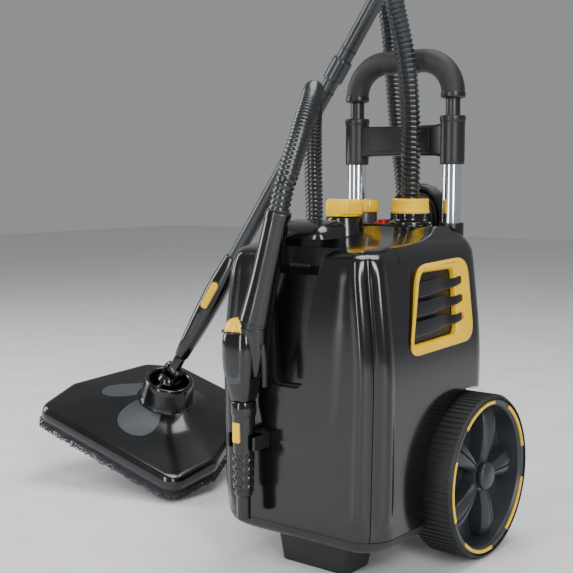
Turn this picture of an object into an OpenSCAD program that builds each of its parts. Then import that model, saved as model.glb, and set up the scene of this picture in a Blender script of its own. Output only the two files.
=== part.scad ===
// Wheeled canister steam cleaner with a telescoping handle, a docked steam gun
// on a corrugated hose, and a floor mop on a two-piece extension wand.
// Millimetres, +Z up, the front of the machine faces -Y.
// The origin is the centre of the front foot's flat underside.

/* [Body] */
// Half of the casing's width at its widest
body_half_w = 118; // [117:0.5:119]
// Distance of the casing's front face before the origin
body_front = 67; // [66:0.5:68]
// Distance of the casing's rear face behind the origin
body_rear = 186; // [186:0.5:188]
// Thickness of the casing's moulded walls
wall = 3; // [2.5:0.1:3]
// Height of the foot under the casing
foot_h = 44; // [43.9:0.1:44]

/* [Boiler] */
// Radius of the boiler tank
boiler_r = 70; // [66:1:71]
// Height of the boiler tank
boiler_h = 206; // [200:1:206]

/* [Wheels] */
// Radius of the wheels over the tread
wheel_r = 100; // [99:0.5:100]
// Radius of the axle
axle_r = 6; // [5.5:0.1:6.2]
// Radial running clearance of each wheel on the axle
axle_gap = 0.06; // [0.03:0.01:0.1]

/* [Handle] */
// Half of the distance between the two handle tubes
tube_x = 71; // [70.5:0.1:71.5]
// Radius of the bright outer handle tubes
tube_r = 12; // [11.8:0.1:12]
// Radius of the dark inner handle tubes
neck_r = 9; // [8.6:0.1:9]
// Radius of the padded grip
grip_r = 15; // [14:0.5:15]

/* [Hose and cord] */
// Radius of the steam hose
hose_r = 12.5; // [12:0.1:12.5]
// Radius of the power cord
cord_r = 4; // [3.8:0.1:4]

/* [Mop] */
// Radius of the extension wand's tubes
wand_r = 11; // [10.5:0.1:11]
// Radius of the wand's upper mouth, which the gun's steam tip enters
wand_bore_r = 8.5; // [8:0.1:8.5]
// Length of the whole wand from the mop's swivel to its upper mouth
wand_len = 880; // [870:5:885]
// Height of the mop's lower swivel pin over its cloth
swivel_h = 78; // [77.7:0.1:78]
// Distance between the swivel's two crossed pins
swivel_step = 24; // [24:0.5:25]

/* [Hidden] */
$fn = 64;
e = 0.3;          // gap between neighbouring mouldings
fit = 0.05;       // gap of a fixed press or sliding fit

// Casing levels: height, half width, front, rear and corner radius
body_levels = [
    [foot_h,       body_half_w - 18, 13 - body_front, body_rear - 26, 30],
    [foot_h + 6,   body_half_w - 8,  5 - body_front,  body_rear - 14, 34],
    [foot_h + 20,  body_half_w - 3,  1 - body_front,  body_rear - 8,  36],
    [foot_h + 66,  body_half_w - 1,  -body_front,     body_rear - 3,  36],
    [235,          body_half_w,      -body_front,     body_rear,      34],
    [345,          body_half_w - 10.5, 2 - body_front, body_rear,     32],
    [376,          body_half_w - 16, 7 - body_front,  body_rear,      30],
    [386,          body_half_w - 22, 17 - body_front, body_rear - 2,  28],
    [394,          body_half_w - 30, 40,              body_rear - 4,  24],
    [401,          body_half_w - 40, 100,             body_rear - 8,  20]];
pan_top = foot_h + 16;
seam_y = -58;
seam_top_y = -6;
axle_y = 135;
axle_z = wheel_r;
arch_r = wheel_r + 6;
arch_x = 86;
boiler_at = [0, 60, 122];
deck_z = 403;
filler_at = [-28, 75];
dial_at = [-36, 131];
hose_at = [35, 128];
hose_exit_z = 434;
tube_y = 167;
guide_r = tube_r + 3;
crossbar_z = 476;
grip_z = 557;
grip_corner = 42;
niche_back = -30;
vent_lean = 5.45;   // the casing's side leans in by this angle above its widest level
vent_z = 235;
hank_x = 3;
hank_y = 190;
hank_depth = 32;
hank_low = 252;
hank_high = 412;
hank_in = 16;
hank_out = 40;
gun_x = -52;
gun_y = -90;
gun_tail = [-3, -86, 424];
gun_neck = [-40, -86, 288];
swivel = [-411, 156, 145];
mop_tilt = [10, 20, 0];
mop_yaw = 8;
wand_lean = 13;     // the wand leans this far to the side of the mop's head
wand_back = 15.5;   // and this far behind its upright

// Route of the steam hose, from the top of its ring to the tail of the gun
hose_route = [
    [35, 128, 434], [35, 128, 480], [34, 128, 530], [30, 128, 580], [20, 129, 630],
    [6, 131, 680], [-4, 139, 728], [-16, 160, 765], [-38, 190, 788], [-70, 226, 792],
    [-97, 262, 776], [-113, 291, 744], [-119, 309, 705], [-119, 320, 660], [-115, 324, 600],
    [-108, 325, 530], [-97, 325, 450], [-90, 325, 380], [-84, 325, 300], [-81, 325, 230],
    [-81, 325, 165], [-83, 324, 113], [-97, 321, 63], [-135, 314, 25], [-182, 306, 13.5],
    [-229, 297, 25], [-263, 287, 58], [-279, 277, 105], [-271, 266, 154], [-247, 253, 198],
    [-215, 238, 239], [-188, 219, 286],
    [-166, 196, 340], [-152, 182, 400], [-143, 168, 450], [-133, 153, 495], [-118, 132, 532],
    [-98, 107, 557], [-76, 78, 567], [-55, 46, 564], [-35, 13, 549], [-18, -20, 526],
    [-6, -47, 501], [1, -68, 478], [4.5, -80, 462], [3.5, -86, 448], [-2.5, -86, 426]];
// Route of the power cord's short lead, from its strain relief to the hank
cord_route = [
    [45, 210, 120], [45, 222, 121], [42, 236, 130], [36, 243, 147], [28, 240, 165],
    [18, 230, 182], [9, 216, 197], [4, 207, 211]];

// ---------- shared shapes ----------

// The casing's outer form, moved inwards by inset
module casing(inset = 0) {
    hull()
        for (level = body_levels)
            for (side = [-1, 1])
                for (end = [2, 3]) {
                    into = end == 2 ? 1 : -1;
                    x = side * (level[1] - level[4]);
                    z = level[0] + inset * (1 - 2 * (level[0] - foot_h) / (401 - foot_h));
                    translate([x, level[end] + into * level[4], z])
                        cylinder(r = level[4] - inset, h = 0.01, $fn = 32);
                }
}

// The space in front of the seam between the front and rear mouldings
module front_space(gap) {
    translate([-150, 0, 0])
        rotate([90, 0, 90])
            linear_extrude(300)
                polygon([[-100, pan_top + e], [seam_y - gap, pan_top + e],
                         [seam_y - gap, 352], [seam_top_y - gap, 366],
                         [seam_top_y - gap, 430], [-100, 430]]);
}

// The wheel's space in the casing's rear corners
module wheel_space(r, inner) {
    for (side = [-1, 1])
        translate([side * (inner + 30), axle_y, axle_z])
            rotate([0, 90, 0])
                cylinder(r = r, h = 60, center = true);
}

// The recess in the front, where the gun's grip is reached
module niche(grow, y0, y1) {
    corners = [[-30, 384], [38, 384], [14, 234], [-20, 234]];
    hull()
        for (c = corners)
            translate([c[0], y1, c[1]])
                rotate([90, 0, 0])
                    cylinder(r = 8 + grow, h = y1 - y0, $fn = 32);
}

// Places something on the leaning side of the casing: x along the side, y up it
module on_side(side) {
    translate([side * body_half_w, 0, vent_z])
        rotate([0, -side * vent_lean, 0])
            rotate([90, 0, 90])
                children();
}

module vent_outline(grow) {
    corners = [[7, 38], [132, 42], [128, 118], [34, 114]];
    hull()
        for (c = corners)
            translate(c)
                circle(r = 12 + grow, $fn = 32);
}

module vent_hole(grow) {
    corners = [[9, 48], [94, 50], [98, 106], [30, 106]];
    hull()
        for (c = corners)
            translate(c)
                circle(r = 5 + grow, $fn = 32);
}

// A point p of the mop's own frame is placed in the machine's frame
module in_mop() {
    translate(swivel)
        rotate(mop_tilt)
            rotate([0, 0, mop_yaw])
                children();
}

module in_yoke() {
    in_mop()
        rotate([0, wand_lean, 0])
            children();
}

module in_wand() {
    in_yoke()
        translate([0, 0, swivel_step])
            rotate([-wand_back, 0, 0])
                children();
}

module tube(r, bore, h) {
    difference() {
        cylinder(r = r, h = h);
        translate([0, 0, -1])
            cylinder(r = bore, h = h + 2);
    }
}

function unit(v) = v / norm(v);
function tangent(path, i) =
    unit(path[min(i + 1, len(path) - 1)] - path[max(i - 1, 0)]);
function side_of(t, last) = unit(last - (last * t) * t);
function frames(path, i, last) =
    i == len(path) ? [] :
    let (s = side_of(tangent(path, i), last))
    concat([s], frames(path, i + 1, s));

// A round tube swept along a list of points
module swept(path, r, sides, start) {
    n = len(path);
    side = frames(path, 0, start);
    points = [for (i = [0 : n - 1]) for (k = [0 : sides - 1])
        let (s = side[i], u = cross(tangent(path, i), s), a = 360 * k / sides)
        path[i] + r * (cos(a) * s + sin(a) * u)];
    walls = [for (i = [0 : n - 2]) for (k = [0 : sides - 1])
        let (m = (k + 1) % sides)
        [i * sides + k, (i + 1) * sides + k, (i + 1) * sides + m, i * sides + m]];
    first = [for (k = [0 : sides - 1]) k];
    last = [for (k = [sides - 1 : -1 : 0]) (n - 1) * sides + k];
    polyhedron(points, concat([first], walls, [last]), convexity = 10);
}

// ---------- casing ----------

module base_pan() color("#161616") {
    difference() {
        intersection() {
            casing();
            translate([-150, -100, 0])
                cube([300, 350, pan_top]);
        }
        difference() {
            casing(wall);
            translate([-150, -100, 0])
                cube([300, 350, foot_h + wall]);
        }
        wheel_space(arch_r, arch_x);
        screw_holes();
    }
    // cradle under the boiler
    translate([boiler_at[0], boiler_at[1], foot_h + wall])
        difference() {
            cylinder(r = 60, h = boiler_at[2] - foot_h - wall);
            translate([0, 0, -1])
                cylinder(r = 57, h = 100);
        }
    difference() {
        union() {
            // bearing blocks that hold the axle
            for (side = [-1, 1])
                translate([side * 76.6 - 7.6, axle_y - 12, foot_h + wall - 0.5])
                    cube([15.2, 24, 68]);
            // inner walls and roofs of the wheel arches
            intersection() {
                casing(wall + e);
                translate([-150, -100, foot_h + wall - 0.5])
                    cube([300, 350, 400]);
                difference() {
                    wheel_space(arch_r + 2.5, arch_x - 2);
                    wheel_space(arch_r, arch_x);
                }
            }
        }
        translate([0, axle_y, axle_z])
            rotate([0, 90, 0])
                cylinder(r = axle_r, h = 180, center = true);
    }
}

module screw_holes() {
    for (p = screw_places()) {
        translate([p[0], p[1], foot_h - 1])
            cylinder(r = 4.2, h = 2.2);
        translate([p[0], p[1], foot_h - 1])
            cylinder(r = 1.9, h = 10);
    }
}

function screw_places() = [for (x = [-76, 76]) for (y = [-20, 20]) [x, y]];

module case_screws() color("#8a8a8a")
    for (p = screw_places())
        translate([p[0], p[1], foot_h + 0.2]) {
            cylinder(r = 4, h = 1);
            cylinder(r = 1.8, h = 14);
        }

module front_foot() color("#1c1c1c")
    hull() {
        for (x = [-40, 40]) for (y = [-17, 17])
            translate([x, y, 0])
                cylinder(r = 8, h = 0.1, $fn = 32);
        for (x = [-46, 46]) for (y = [-18, 22])
            translate([x, y, foot_h - 0.1])
                cylinder(r = 8, h = 0.1, $fn = 32);
    }

module front_shell() color("#0d0d0e")
    difference() {
        union() {
            intersection() {
                difference() {
                    casing();
                    casing(wall);
                }
                front_space(e / 2);
            }
            // hood over the recess
            hull()
                for (p = [[-54, 392], [-16, 403], [-16, 388]])
                    translate([2, p[0], p[1]])
                        rotate([0, 90, 0])
                            cylinder(r = 9, h = 82, center = true, $fn = 24);
        }
        niche(2.8, -90, niche_back + 2.5);
    }

module rear_shell() color("#0d0d0e")
    difference() {
        casing();
        casing(wall);
        front_space(-e / 2);
        translate([-150, -100, 0])
            cube([300, 350, pan_top + e]);
        wheel_space(arch_r, arch_x);
        for (side = [-1, 1])
            on_side(side)
                translate([0, 0, side > 0 ? -12 : -8])
                    linear_extrude(20)
                        vent_outline(e);
        translate([-60, 100, 380])
            cube([120, 50, 40]);
        translate([filler_at[0], filler_at[1], 370])
            cylinder(r = 27.3, h = 50);
        for (x = [-tube_x, tube_x])
            translate([x, tube_y, 300])
                cylinder(r = guide_r + e, h = 120);
        translate([45, 200, 120])
            rotate([90, 0, 0])
                cylinder(r = 8.3, h = 40);
    }

module top_deck() color("#101010")
    difference() {
        translate([-60 + e, 100 + e, 391])
            cube([120 - 2 * e, 50 - 2 * e, deck_z - 391]);
        translate([filler_at[0], filler_at[1], 370])
            cylinder(r = 27.3, h = 50);
        translate([hose_at[0], hose_at[1], 380])
            cylinder(r = 16.2, h = 40);
        translate([dial_at[0], dial_at[1], 380])
            cylinder(r = 6.1, h = 40);
        translate([-9, 112, 380])
            cube([16.4, 26.4, 40]);
    }

module recess_liner() color("#26282a") {
    difference() {
        niche(2.5, wall + 0.5 - body_front, niche_back + 2);
        niche(0, -90, niche_back);
    }
    // raised field on the recess's back wall
    niche(-5, niche_back - 3, niche_back + 1);
}

module gun_holster() color("#141414")
    difference() {
        translate([gun_x - 21, gun_y - 6, 150])
            cube([42, 6 - gun_y - body_front - fit, 16]);
        translate([gun_x - 16.5, gun_y - 20, 140])
            cube([33, 20 + 16.5, 40]);
    }

// ---------- boiler and steam circuit ----------

module boiler_tank() color("#b8bcc0")
    translate(boiler_at)
        difference() {
            rotate_extrude()
                boiler_section(boiler_r, boiler_h, 14);
            translate([0, 0, 2])
                rotate_extrude()
                    boiler_section(boiler_r - 2, boiler_h - 4, 12);
            translate([filler_at[0], filler_at[1] - boiler_at[1], boiler_h - 5])
                cylinder(r = 11, h = 20);
        }

module boiler_section(r, h, corner) {
    square([r - corner, h]);
    translate([0, corner])
        square([r, h - 2 * corner]);
    for (z = [corner, h - corner])
        translate([r - corner, z])
            circle(r = corner);
}

module heating_element() color("#7a6a52")
    translate([boiler_at[0], boiler_at[1], boiler_at[2] - 14])
        difference() {
            cylinder(r = 52, h = 13.9);
            translate([0, 0, -1])
                cylinder(r = 34, h = 20);
        }

module thermostat() color("#d8d4c8")
    translate([30, 40, boiler_at[2] + boiler_h + 0.05]) {
        cylinder(r = 9, h = 8);
        translate([0, 0, 8])
            cylinder(r = 5, h = 7);
    }

module solenoid_valve() color("#30343a")
    translate([35, 96, boiler_at[2] + boiler_h + 0.05]) {
        cylinder(r = 8, h = 8);
        translate([-14, -14, 8])
            cube([28, 28, 34]);
    }

module steam_pipe() color("#b87333")
    translate([hose_at[0], 110.1, 352]) {
        rotate([-90, 0, 0])
            cylinder(r = 4, h = 8);
        translate([0, 8, 10])
            rotate([90, 0, 90])
                rotate([0, 0, -90])
                    bend(10, 4);
        translate([0, 18, 10])
            cylinder(r = 4, h = 29.8);
    }

// A quarter bend of a round bar, in the plane of x and y
module bend(r, bar)
    rotate_extrude(angle = 90)
        translate([r, 0])
            circle(r = bar, $fn = 32);

module filler_neck() color("#121212")
    translate([filler_at[0], filler_at[1], 0])
        difference() {
            union() {
                translate([0, 0, boiler_at[2] + boiler_h + 0.05])
                    cylinder(r = 15, h = 60);
                translate([0, 0, 384])
                    cylinder(r1 = 27, r2 = 21, h = 28);
            }
            translate([0, 0, 300])
                cylinder(r = 11.5, h = 120);
        }

module filler_cap() color("#f2c200")
    translate([filler_at[0], filler_at[1], 0]) {
        difference() {
            union() {
                translate([0, 0, 413.5])
                    cylinder(r = 22, h = 18);
                translate([-27, -9, 414.5])
                    cube([54, 18, 17]);
            }
            translate([0, 0, 413])
                cylinder(r = 13.2, h = 4.5);
        }
        translate([0, 0, 398])
            cylinder(r = 11.4, h = 19.5);
    }

module cap_seal() color("#a03020")
    translate([filler_at[0], filler_at[1], 413.6])
        tube(13.1, 11.5, 3.8);

module steam_dial() color("#f2c200")
    translate([dial_at[0], dial_at[1], 0]) {
        translate([0, 0, 416])
            cylinder(r = 20, h = 15);
        translate([0, 0, 385])
            cylinder(r = 6, h = 32);
    }

module dial_collar() color("#1c1c1e")
    translate([dial_at[0], dial_at[1], deck_z + fit])
        tube(17, 6.1, 12.4);

module hose_collar() color("#101010")
    translate([hose_at[0], hose_at[1], 0])
        difference() {
            union() {
                translate([0, 0, 392])
                    cylinder(r = 16, h = 20);
                translate([0, 0, deck_z])
                    cylinder(r = 27, h = 3);
                translate([0, 0, deck_z])
                    cylinder(r = 21, h = 13);
            }
            translate([0, 0, 391.8])
                cylinder(r = 5, h = 30);
        }

module hose_ring() color("#f2c200")
    translate([hose_at[0], hose_at[1], 416])
        tube(24, 5, hose_exit_z - 416);

// ---------- side vents ----------

module vent_frame(side)
    on_side(side)
        translate([0, 0, side > 0 ? -5 : -4])
            difference() {
                linear_extrude(9)
                    vent_outline(0);
                translate([0, 0, -1])
                    linear_extrude(11)
                        vent_hole(0);
            }

module vent_frame_left() color("#f2c200")
    vent_frame(-1);

module vent_frame_right() color("#f2c200")
    vent_frame(1);

module vent_grille(side)
    on_side(side)
        translate([0, 0, side > 0 ? -4.5 : 1.5])
            difference() {
                linear_extrude(3)
                    vent_hole(-e);
                for (z = [52, 68, 84, 98])
                    translate([16, z, -1])
                        cube([76, 5, 5]);
            }

module vent_grille_left() color("#202224")
    vent_grille(-1);

module vent_grille_right() color("#202224")
    vent_grille(1);

// ---------- wheels ----------

module axle() color("#9a9ea2")
    translate([0, axle_y, axle_z])
        rotate([0, 90, 0])
            cylinder(r = axle_r, h = 283, center = true);

module axle_clips() color("#707478")
    for (side = [-1, 1])
        translate([side * 139.5, axle_y, axle_z])
            rotate([0, 90, 0])
                translate([0, 0, -1])
                    tube(9, axle_r, 2);

// Places a wheel piece: its z runs outwards along the axle
module on_axle(side) {
    translate([0, axle_y, axle_z])
        rotate([0, side * 90, 0])
            children();
}

module wheel(side)
    on_axle(side)
        difference() {
            union() {
                translate([0, 0, 94])
                    tube(wheel_r - 5 - fit, wheel_r - 14, 52);
                translate([0, 0, 112])
                    cylinder(r = wheel_r - 13, h = 4);
                translate([0, 0, 93])
                    cylinder(r = 20, h = 49);
                for (k = [0 : 4])
                    rotate([0, 0, 72 * k])
                        translate([10, -9, 115])
                            cube([wheel_r - 23, 18, 25]);
            }
            translate([0, 0, 80])
                cylinder(r = axle_r + axle_gap, h = 60);
            translate([0, 0, 138])
                cylinder(r = 11, h = 20);
        }

module wheel_left() color("#3a3d40")
    wheel(-1);

module wheel_right() color("#3a3d40")
    wheel(1);

module tyre(side)
    on_axle(side)
        rotate_extrude($fn = 96)
            polygon([[wheel_r - 5, 92], [wheel_r - 1.5, 92], [wheel_r, 96],
                     [wheel_r, 142], [wheel_r - 2, 148], [wheel_r - 5, 150]]);

module tyre_left() color("#0b0b0b")
    tyre(-1);

module tyre_right() color("#0b0b0b")
    tyre(1);

module wheel_trim(side)
    on_axle(side)
        for (k = [0 : 4])
            rotate([0, 0, 72 * k + 11])
                translate([0, 0, 146])
                    rotate_extrude(angle = 50, $fn = 96)
                        translate([wheel_r - 10, 0])
                            square([4, 2.5]);

module wheel_trim_left() color("#f2c200")
    wheel_trim(-1);

module wheel_trim_right() color("#f2c200")
    wheel_trim(1);

module hub_cap(side)
    on_axle(side) {
        translate([0, 0, 142])
            cylinder(r = 17, h = 4);
        translate([0, 0, 146])
            cylinder(r1 = 17, r2 = 9, h = 4);
    }

module hub_cap_left() color("#2c2e30")
    hub_cap(-1);

module hub_cap_right() color("#2c2e30")
    hub_cap(1);

// ---------- telescoping handle ----------

module each_tube()
    for (x = [-tube_x, tube_x])
        translate([x, tube_y, 0])
            children();

module guide_tubes() color("#1a1a1a")
    difference() {
        union() {
            each_tube()
                translate([0, 0, 212])
                    cylinder(r = guide_r, h = 190);
            // bridge that joins the guides and rests on the casing's rear wall
            translate([-tube_x, tube_y - 7, 212])
                cube([2 * tube_x, body_rear - wall - 0.8 - tube_y + 7, 16]);
        }
        each_tube()
            cylinder(r = tube_r + fit, h = 500);
    }

module handle_tubes() color("#d0d3d6")
    each_tube()
        translate([0, 0, 130])
            tube(tube_r, neck_r + 0.08, 400);

module crossbar() color("#1c1c1e")
    difference() {
        union() {
            each_tube()
                translate([0, 0, crossbar_z])
                    cylinder(r = 15, h = 60);
            translate([-tube_x, tube_y - 10, crossbar_z + 9])
                cube([2 * tube_x, 20, 42]);
        }
        each_tube() {
            translate([0, 0, crossbar_z - 1])
                cylinder(r = tube_r, h = 55);
            translate([0, 0, crossbar_z])
                cylinder(r = neck_r + 0.3, h = 70);
        }
    }

module grip_tubes() color("#18181a")
    each_tube()
        translate([0, 0, 220])
            tube(neck_r, neck_r - 1.5, 351);

module grip() color("#141416")
    difference() {
        union() {
            each_tube()
                translate([0, 0, grip_z])
                    cylinder(r = grip_r, h = 6);
            for (side = [0, 1])
                translate([0, tube_y, grip_z + 6])
                    mirror([side, 0, 0])
                        translate([tube_x - grip_corner, 0, 0])
                            rotate([90, 0, 0])
                                rotate_extrude(angle = 90)
                                    translate([grip_corner, 0])
                                        circle(r = grip_r);
            translate([0, tube_y, grip_z + 6 + grip_corner])
                rotate([0, 90, 0])
                    cylinder(r = grip_r, h = 2 * (tube_x - grip_corner), center = true);
        }
        each_tube()
            translate([0, 0, grip_z - 1])
                cylinder(r = neck_r, h = 15);
    }

// ---------- power cord ----------

module cord_hooks() color("#141414") {
    for (z = [hank_low, hank_high]) {
        translate([hank_x, 225, z])
            rotate([90, 0, 0])
                cylinder(r = 11, h = 35.5);
        translate([hank_x, 228, z])
            rotate([90, 0, 0])
                cylinder(r = 14, h = 3.5);
    }
    translate([hank_x - 14, body_rear + 0.05, hank_low - 14])
        cube([28, 3.6, 28]);
    translate([hank_x - 14, body_rear + 0.05, 330])
        cube([28, 3.6, hank_high - 330 + 11]);
}

module cord_gland() color("#101010")
    translate([45, 184, 120])
        rotate([-90, 0, 0]) {
            cylinder(r = 8, h = 10);
            translate([0, 0, 10])
                cylinder(r1 = 8, r2 = 5.5, h = 16);
        }

module power_cord() color("#0c0c0c")
    swept(cord_route, cord_r, 8, [1, 0, 0]);

module cord_hank() color("#0c0c0c")
    translate([hank_x, hank_y + hank_depth, 0])
        rotate([90, 0, 0])
            linear_extrude(hank_depth)
                difference() {
                    hank_outline(hank_out);
                    hank_outline(hank_in);
                }

module hank_outline(r) {
    for (z = [hank_low, hank_high])
        translate([0, z])
            circle(r = r);
    translate([-r, hank_low])
        square([2 * r, hank_high - hank_low]);
}

module cord_plug() color("#0e0e0e")
    translate([-25, hank_y + hank_depth + 0.3, 300]) {
        translate([-11, 0, 8])
            cube([22, 20, 30]);
        translate([0, 10, 0])
            cylinder(r1 = 5, r2 = 8, h = 8);
        for (x = [-6.4, 5])
            translate([x, 7, 38])
                cube([1.4, 6, 17]);
    }

module power_switch() color("#b01818")
    translate([-8.8, 112.2, 0]) {
        translate([0, 0, 392])
            cube([16, 26, 13]);
        translate([2, 3, 405])
            cube([12, 20, 3]);
    }

// ---------- hose and gun ----------

module hose() color("#17191b")
    swept(hose_route, hose_r, 12, [1, 0, 0]);

// A cone between two points
module cone_between(a, b, ra, rb) {
    v = b - a;
    translate(a)
        rotate([0, acos(v[2] / norm(v)), atan2(v[1], v[0])])
            cylinder(r1 = ra, r2 = rb, h = norm(v));
}

module gun_body() color("#0f1011") {
    difference() {
        union() {
            translate([gun_x, gun_y, 206])
                cylinder(r1 = 14, r2 = 19, h = 26.1);
            translate([gun_x, gun_y, 232])
                linear_extrude(55)
                    offset(r = 14)
                        square([16, 12], center = true);
            cone_between(gun_neck, gun_tail, 17, hose_r + 1);
        }
        // seat of the dome button
        translate([gun_x - 4, gun_y - 7, 284])
            cylinder(r = 13.3, h = 20);
        // slot round the trigger's pivot
        translate([-34, -94.4, 226])
            cube([20, 8.8, 60]);
        // seat of the small lock button
        translate([-30, gun_y + 4, 303])
            rotate([0, 90, 0])
                cylinder(r = 3.1, h = 20);
    }
    // ears of the trigger's pivot
    for (y = [-97, -85.5])
        translate([-32, y, 268])
            cube([10, 2.5, 14]);
    translate([-26, -85, 275])
        rotate([90, 0, 0])
            cylinder(r = 2, h = 11.5);
}

module gun_nozzle() color("#151617")
    translate([gun_x, gun_y, 0])
        difference() {
            union() {
                translate([0, 0, 190])
                    cylinder(r = 15, h = 15.9);
                translate([0, 0, 95])
                    cylinder(r1 = 10.5, r2 = 14, h = 95);
                translate([0, 0, 66])
                    cylinder(r = 8.3, h = 30);
            }
            translate([0, 0, 60])
                cylinder(r = 3, h = 140);
            translate([-5.2, -20, 158])
                cube([10.4, 13, 24.4]);
        }

module gun_trigger() color("#0c0c0d")
    difference() {
        union() {
            translate([-26, -86, 275])
                rotate([90, 0, 0])
                    cylinder(r = 4.5, h = 8);
            translate([-27, -94, 226])
                rotate([0, -7, 0])
                    translate([7, 0, 0])
                        cube([5, 8, 46]);
        }
        translate([-26, -80, 275])
            rotate([90, 0, 0])
                cylinder(r = 2.06, h = 20);
    }

module gun_dome() color("#f2c200")
    translate([gun_x - 4, gun_y - 7, 285.5])
        intersection() {
            cylinder(r = 13, h = 17);
            translate([0, 0, -4])
                sphere(r = 18);
        }

module gun_lock_button() color("#f2c200")
    translate([-27.5, gun_y + 4, 303])
        rotate([0, 90, 0])
            cylinder(r = 3, h = 9);

module nozzle_button() color("#f2c200")
    translate([gun_x - 5, gun_y - 14.5, 158.2])
        cube([10, 5, 24]);

// ---------- wand and mop ----------

module wand_lower() color("#2c2f31")
    in_wand()
        difference() {
            union() {
                translate([0, 0, 190])
                    cylinder(r = wand_r, h = 340);
                translate([0, 0, 500])
                    cylinder(r = wand_r + 3, h = 34);
            }
            translate([0, 0, 189])
                cylinder(r = wand_bore_r - 1, h = 360);
            translate([0, 0, 512])
                cylinder(r = wand_r, h = 30);
        }

module wand_upper() color("#2c2f31")
    in_wand()
        difference() {
            union() {
                translate([0, 0, 512.05])
                    cylinder(r = wand_r, h = wand_len - 512.05);
                translate([0, 0, wand_len - 40])
                    cylinder(r = wand_r + 3, h = 40);
            }
            translate([0, 0, 500])
                cylinder(r = wand_bore_r - 1, h = wand_len);
            translate([0, 0, wand_len - 45])
                cylinder(r = wand_bore_r, h = 50);
        }

module mop_neck() color("#0f1011")
    in_wand()
        difference() {
            union() {
                hull() {
                    translate([0, 0, 26])
                        cylinder(r = 10, h = 1, $fn = 32);
                    translate([0, 0, 150])
                        cylinder(r = 17, h = 1, $fn = 32);
                    translate([0, 0, 205])
                        cylinder(r = 14, h = 1, $fn = 32);
                }
                // tongue on the swivel's upper pin
                translate([-7, -7, 0])
                    cube([14, 14, 30]);
                rotate([0, 90, 0])
                    cylinder(r = 8, h = 14, center = true);
            }
            rotate([0, 90, 0])
                cylinder(r = 4.06, h = 30, center = true);
            translate([0, 0, 190])
                cylinder(r = wand_r, h = 40);
            translate([-6.2, -30, 118])
                cube([12.4, 20.5, 44.4]);
        }

module neck_button() color("#f2c200")
    in_wand()
        translate([-6, -18.5, 118.2])
            cube([12, 6, 44]);

// The neck pitches on the yoke's upper pin, and the yoke leans in the mop's cup
module swivel_yoke() color("#2a2c2e")
    in_yoke() {
        translate([0, 0, swivel_step])
            rotate([0, 90, 0])
                cylinder(r = 4, h = 28, center = true);
        for (side = [-1, 1])
            translate([side * 11 - 3, -8, -6])
                cube([6, 16, swivel_step + 14]);
        translate([-9, -18, -8])
            cube([18, 36, 16]);
        rotate([90, 0, 0])
            cylinder(r = 4, h = 70, center = true);
    }

mop_outline = [
    [[-112, -122], 24], [[112, -122], 24], [[122, -60], 22], [[82, 60], 26],
    [[-82, 60], 26], [[-122, -60], 22], [[-50, 88], 26], [[50, 88], 26]];

module mop_slab(grow, z) {
    for (c = mop_outline)
        translate([c[0][0], c[0][1], z - swivel_h])
            cylinder(r = c[1] + grow, h = 0.1, $fn = 32);
}

module mop_form(inset) {
    hull() {
        mop_slab(-inset, 16);
        mop_slab(-4 - inset, 32 - inset);
        translate([0, 0, 50 - inset - swivel_h])
            scale([1, 1.2, 1])
                cylinder(r = 56 - inset, h = 0.1, $fn = 48);
    }
}

module mop_shell() color("#0d0d0e")
    in_mop()
        difference() {
            union() {
                difference() {
                    mop_form(0);
                    translate([0, 0, -0.05])
                        mop_form(wall);
                }
                translate([0, 0, -36])
                    cylinder(r1 = 42, r2 = 36, h = 41);
            }
            // the cup that the yoke leans in, and the bores of its pin
            translate([0, 0, -24])
                cylinder(r = 30, h = 60);
            rotate([90, 0, 0])
                cylinder(r = 4.06, h = 72, center = true);
        }

module mop_base() color("#1a1a1b")
    in_mop()
        hull() {
            mop_slab(-1, 12);
            mop_slab(-1, 15.6);
        }

module mop_pad() color("#2a2c30")
    in_mop()
        hull() {
            mop_slab(-2, 0);
            mop_slab(2, 4);
            mop_slab(1, 11.6);
        }

// ---------- the nodes ----------

base_pan();
front_foot();
front_shell();
rear_shell();
top_deck();
recess_liner();
gun_holster();
boiler_tank();
heating_element();
thermostat();
solenoid_valve();
steam_pipe();
filler_neck();
filler_cap();
cap_seal();
steam_dial();
dial_collar();
hose_collar();
hose_ring();
vent_frame_left();
vent_frame_right();
vent_grille_left();
vent_grille_right();
axle();
axle_clips();
wheel_left();
wheel_right();
tyre_left();
tyre_right();
wheel_trim_left();
wheel_trim_right();
hub_cap_left();
hub_cap_right();
guide_tubes();
handle_tubes();
crossbar();
grip_tubes();
grip();
cord_hooks();
cord_gland();
power_cord();
cord_hank();
cord_plug();
power_switch();
case_screws();
hose();
gun_body();
gun_nozzle();
gun_trigger();
gun_dome();
gun_lock_button();
nozzle_button();
wand_lower();
wand_upper();
mop_neck();
neck_button();
swivel_yoke();
mop_shell();
mop_base();
mop_pad();
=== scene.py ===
# %% [markdown]
# A wheeled steam cleaner with a docked steam gun, a corrugated hose and a floor mop.
# The engineering parts arrive ready made from the frame. This lesson gives each one
# that can be seen its moulded shape and its finish, one step at a time.

# %% Load the frame
import math
import bpy
import bmesh
from mathutils import Matrix, Vector


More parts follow.
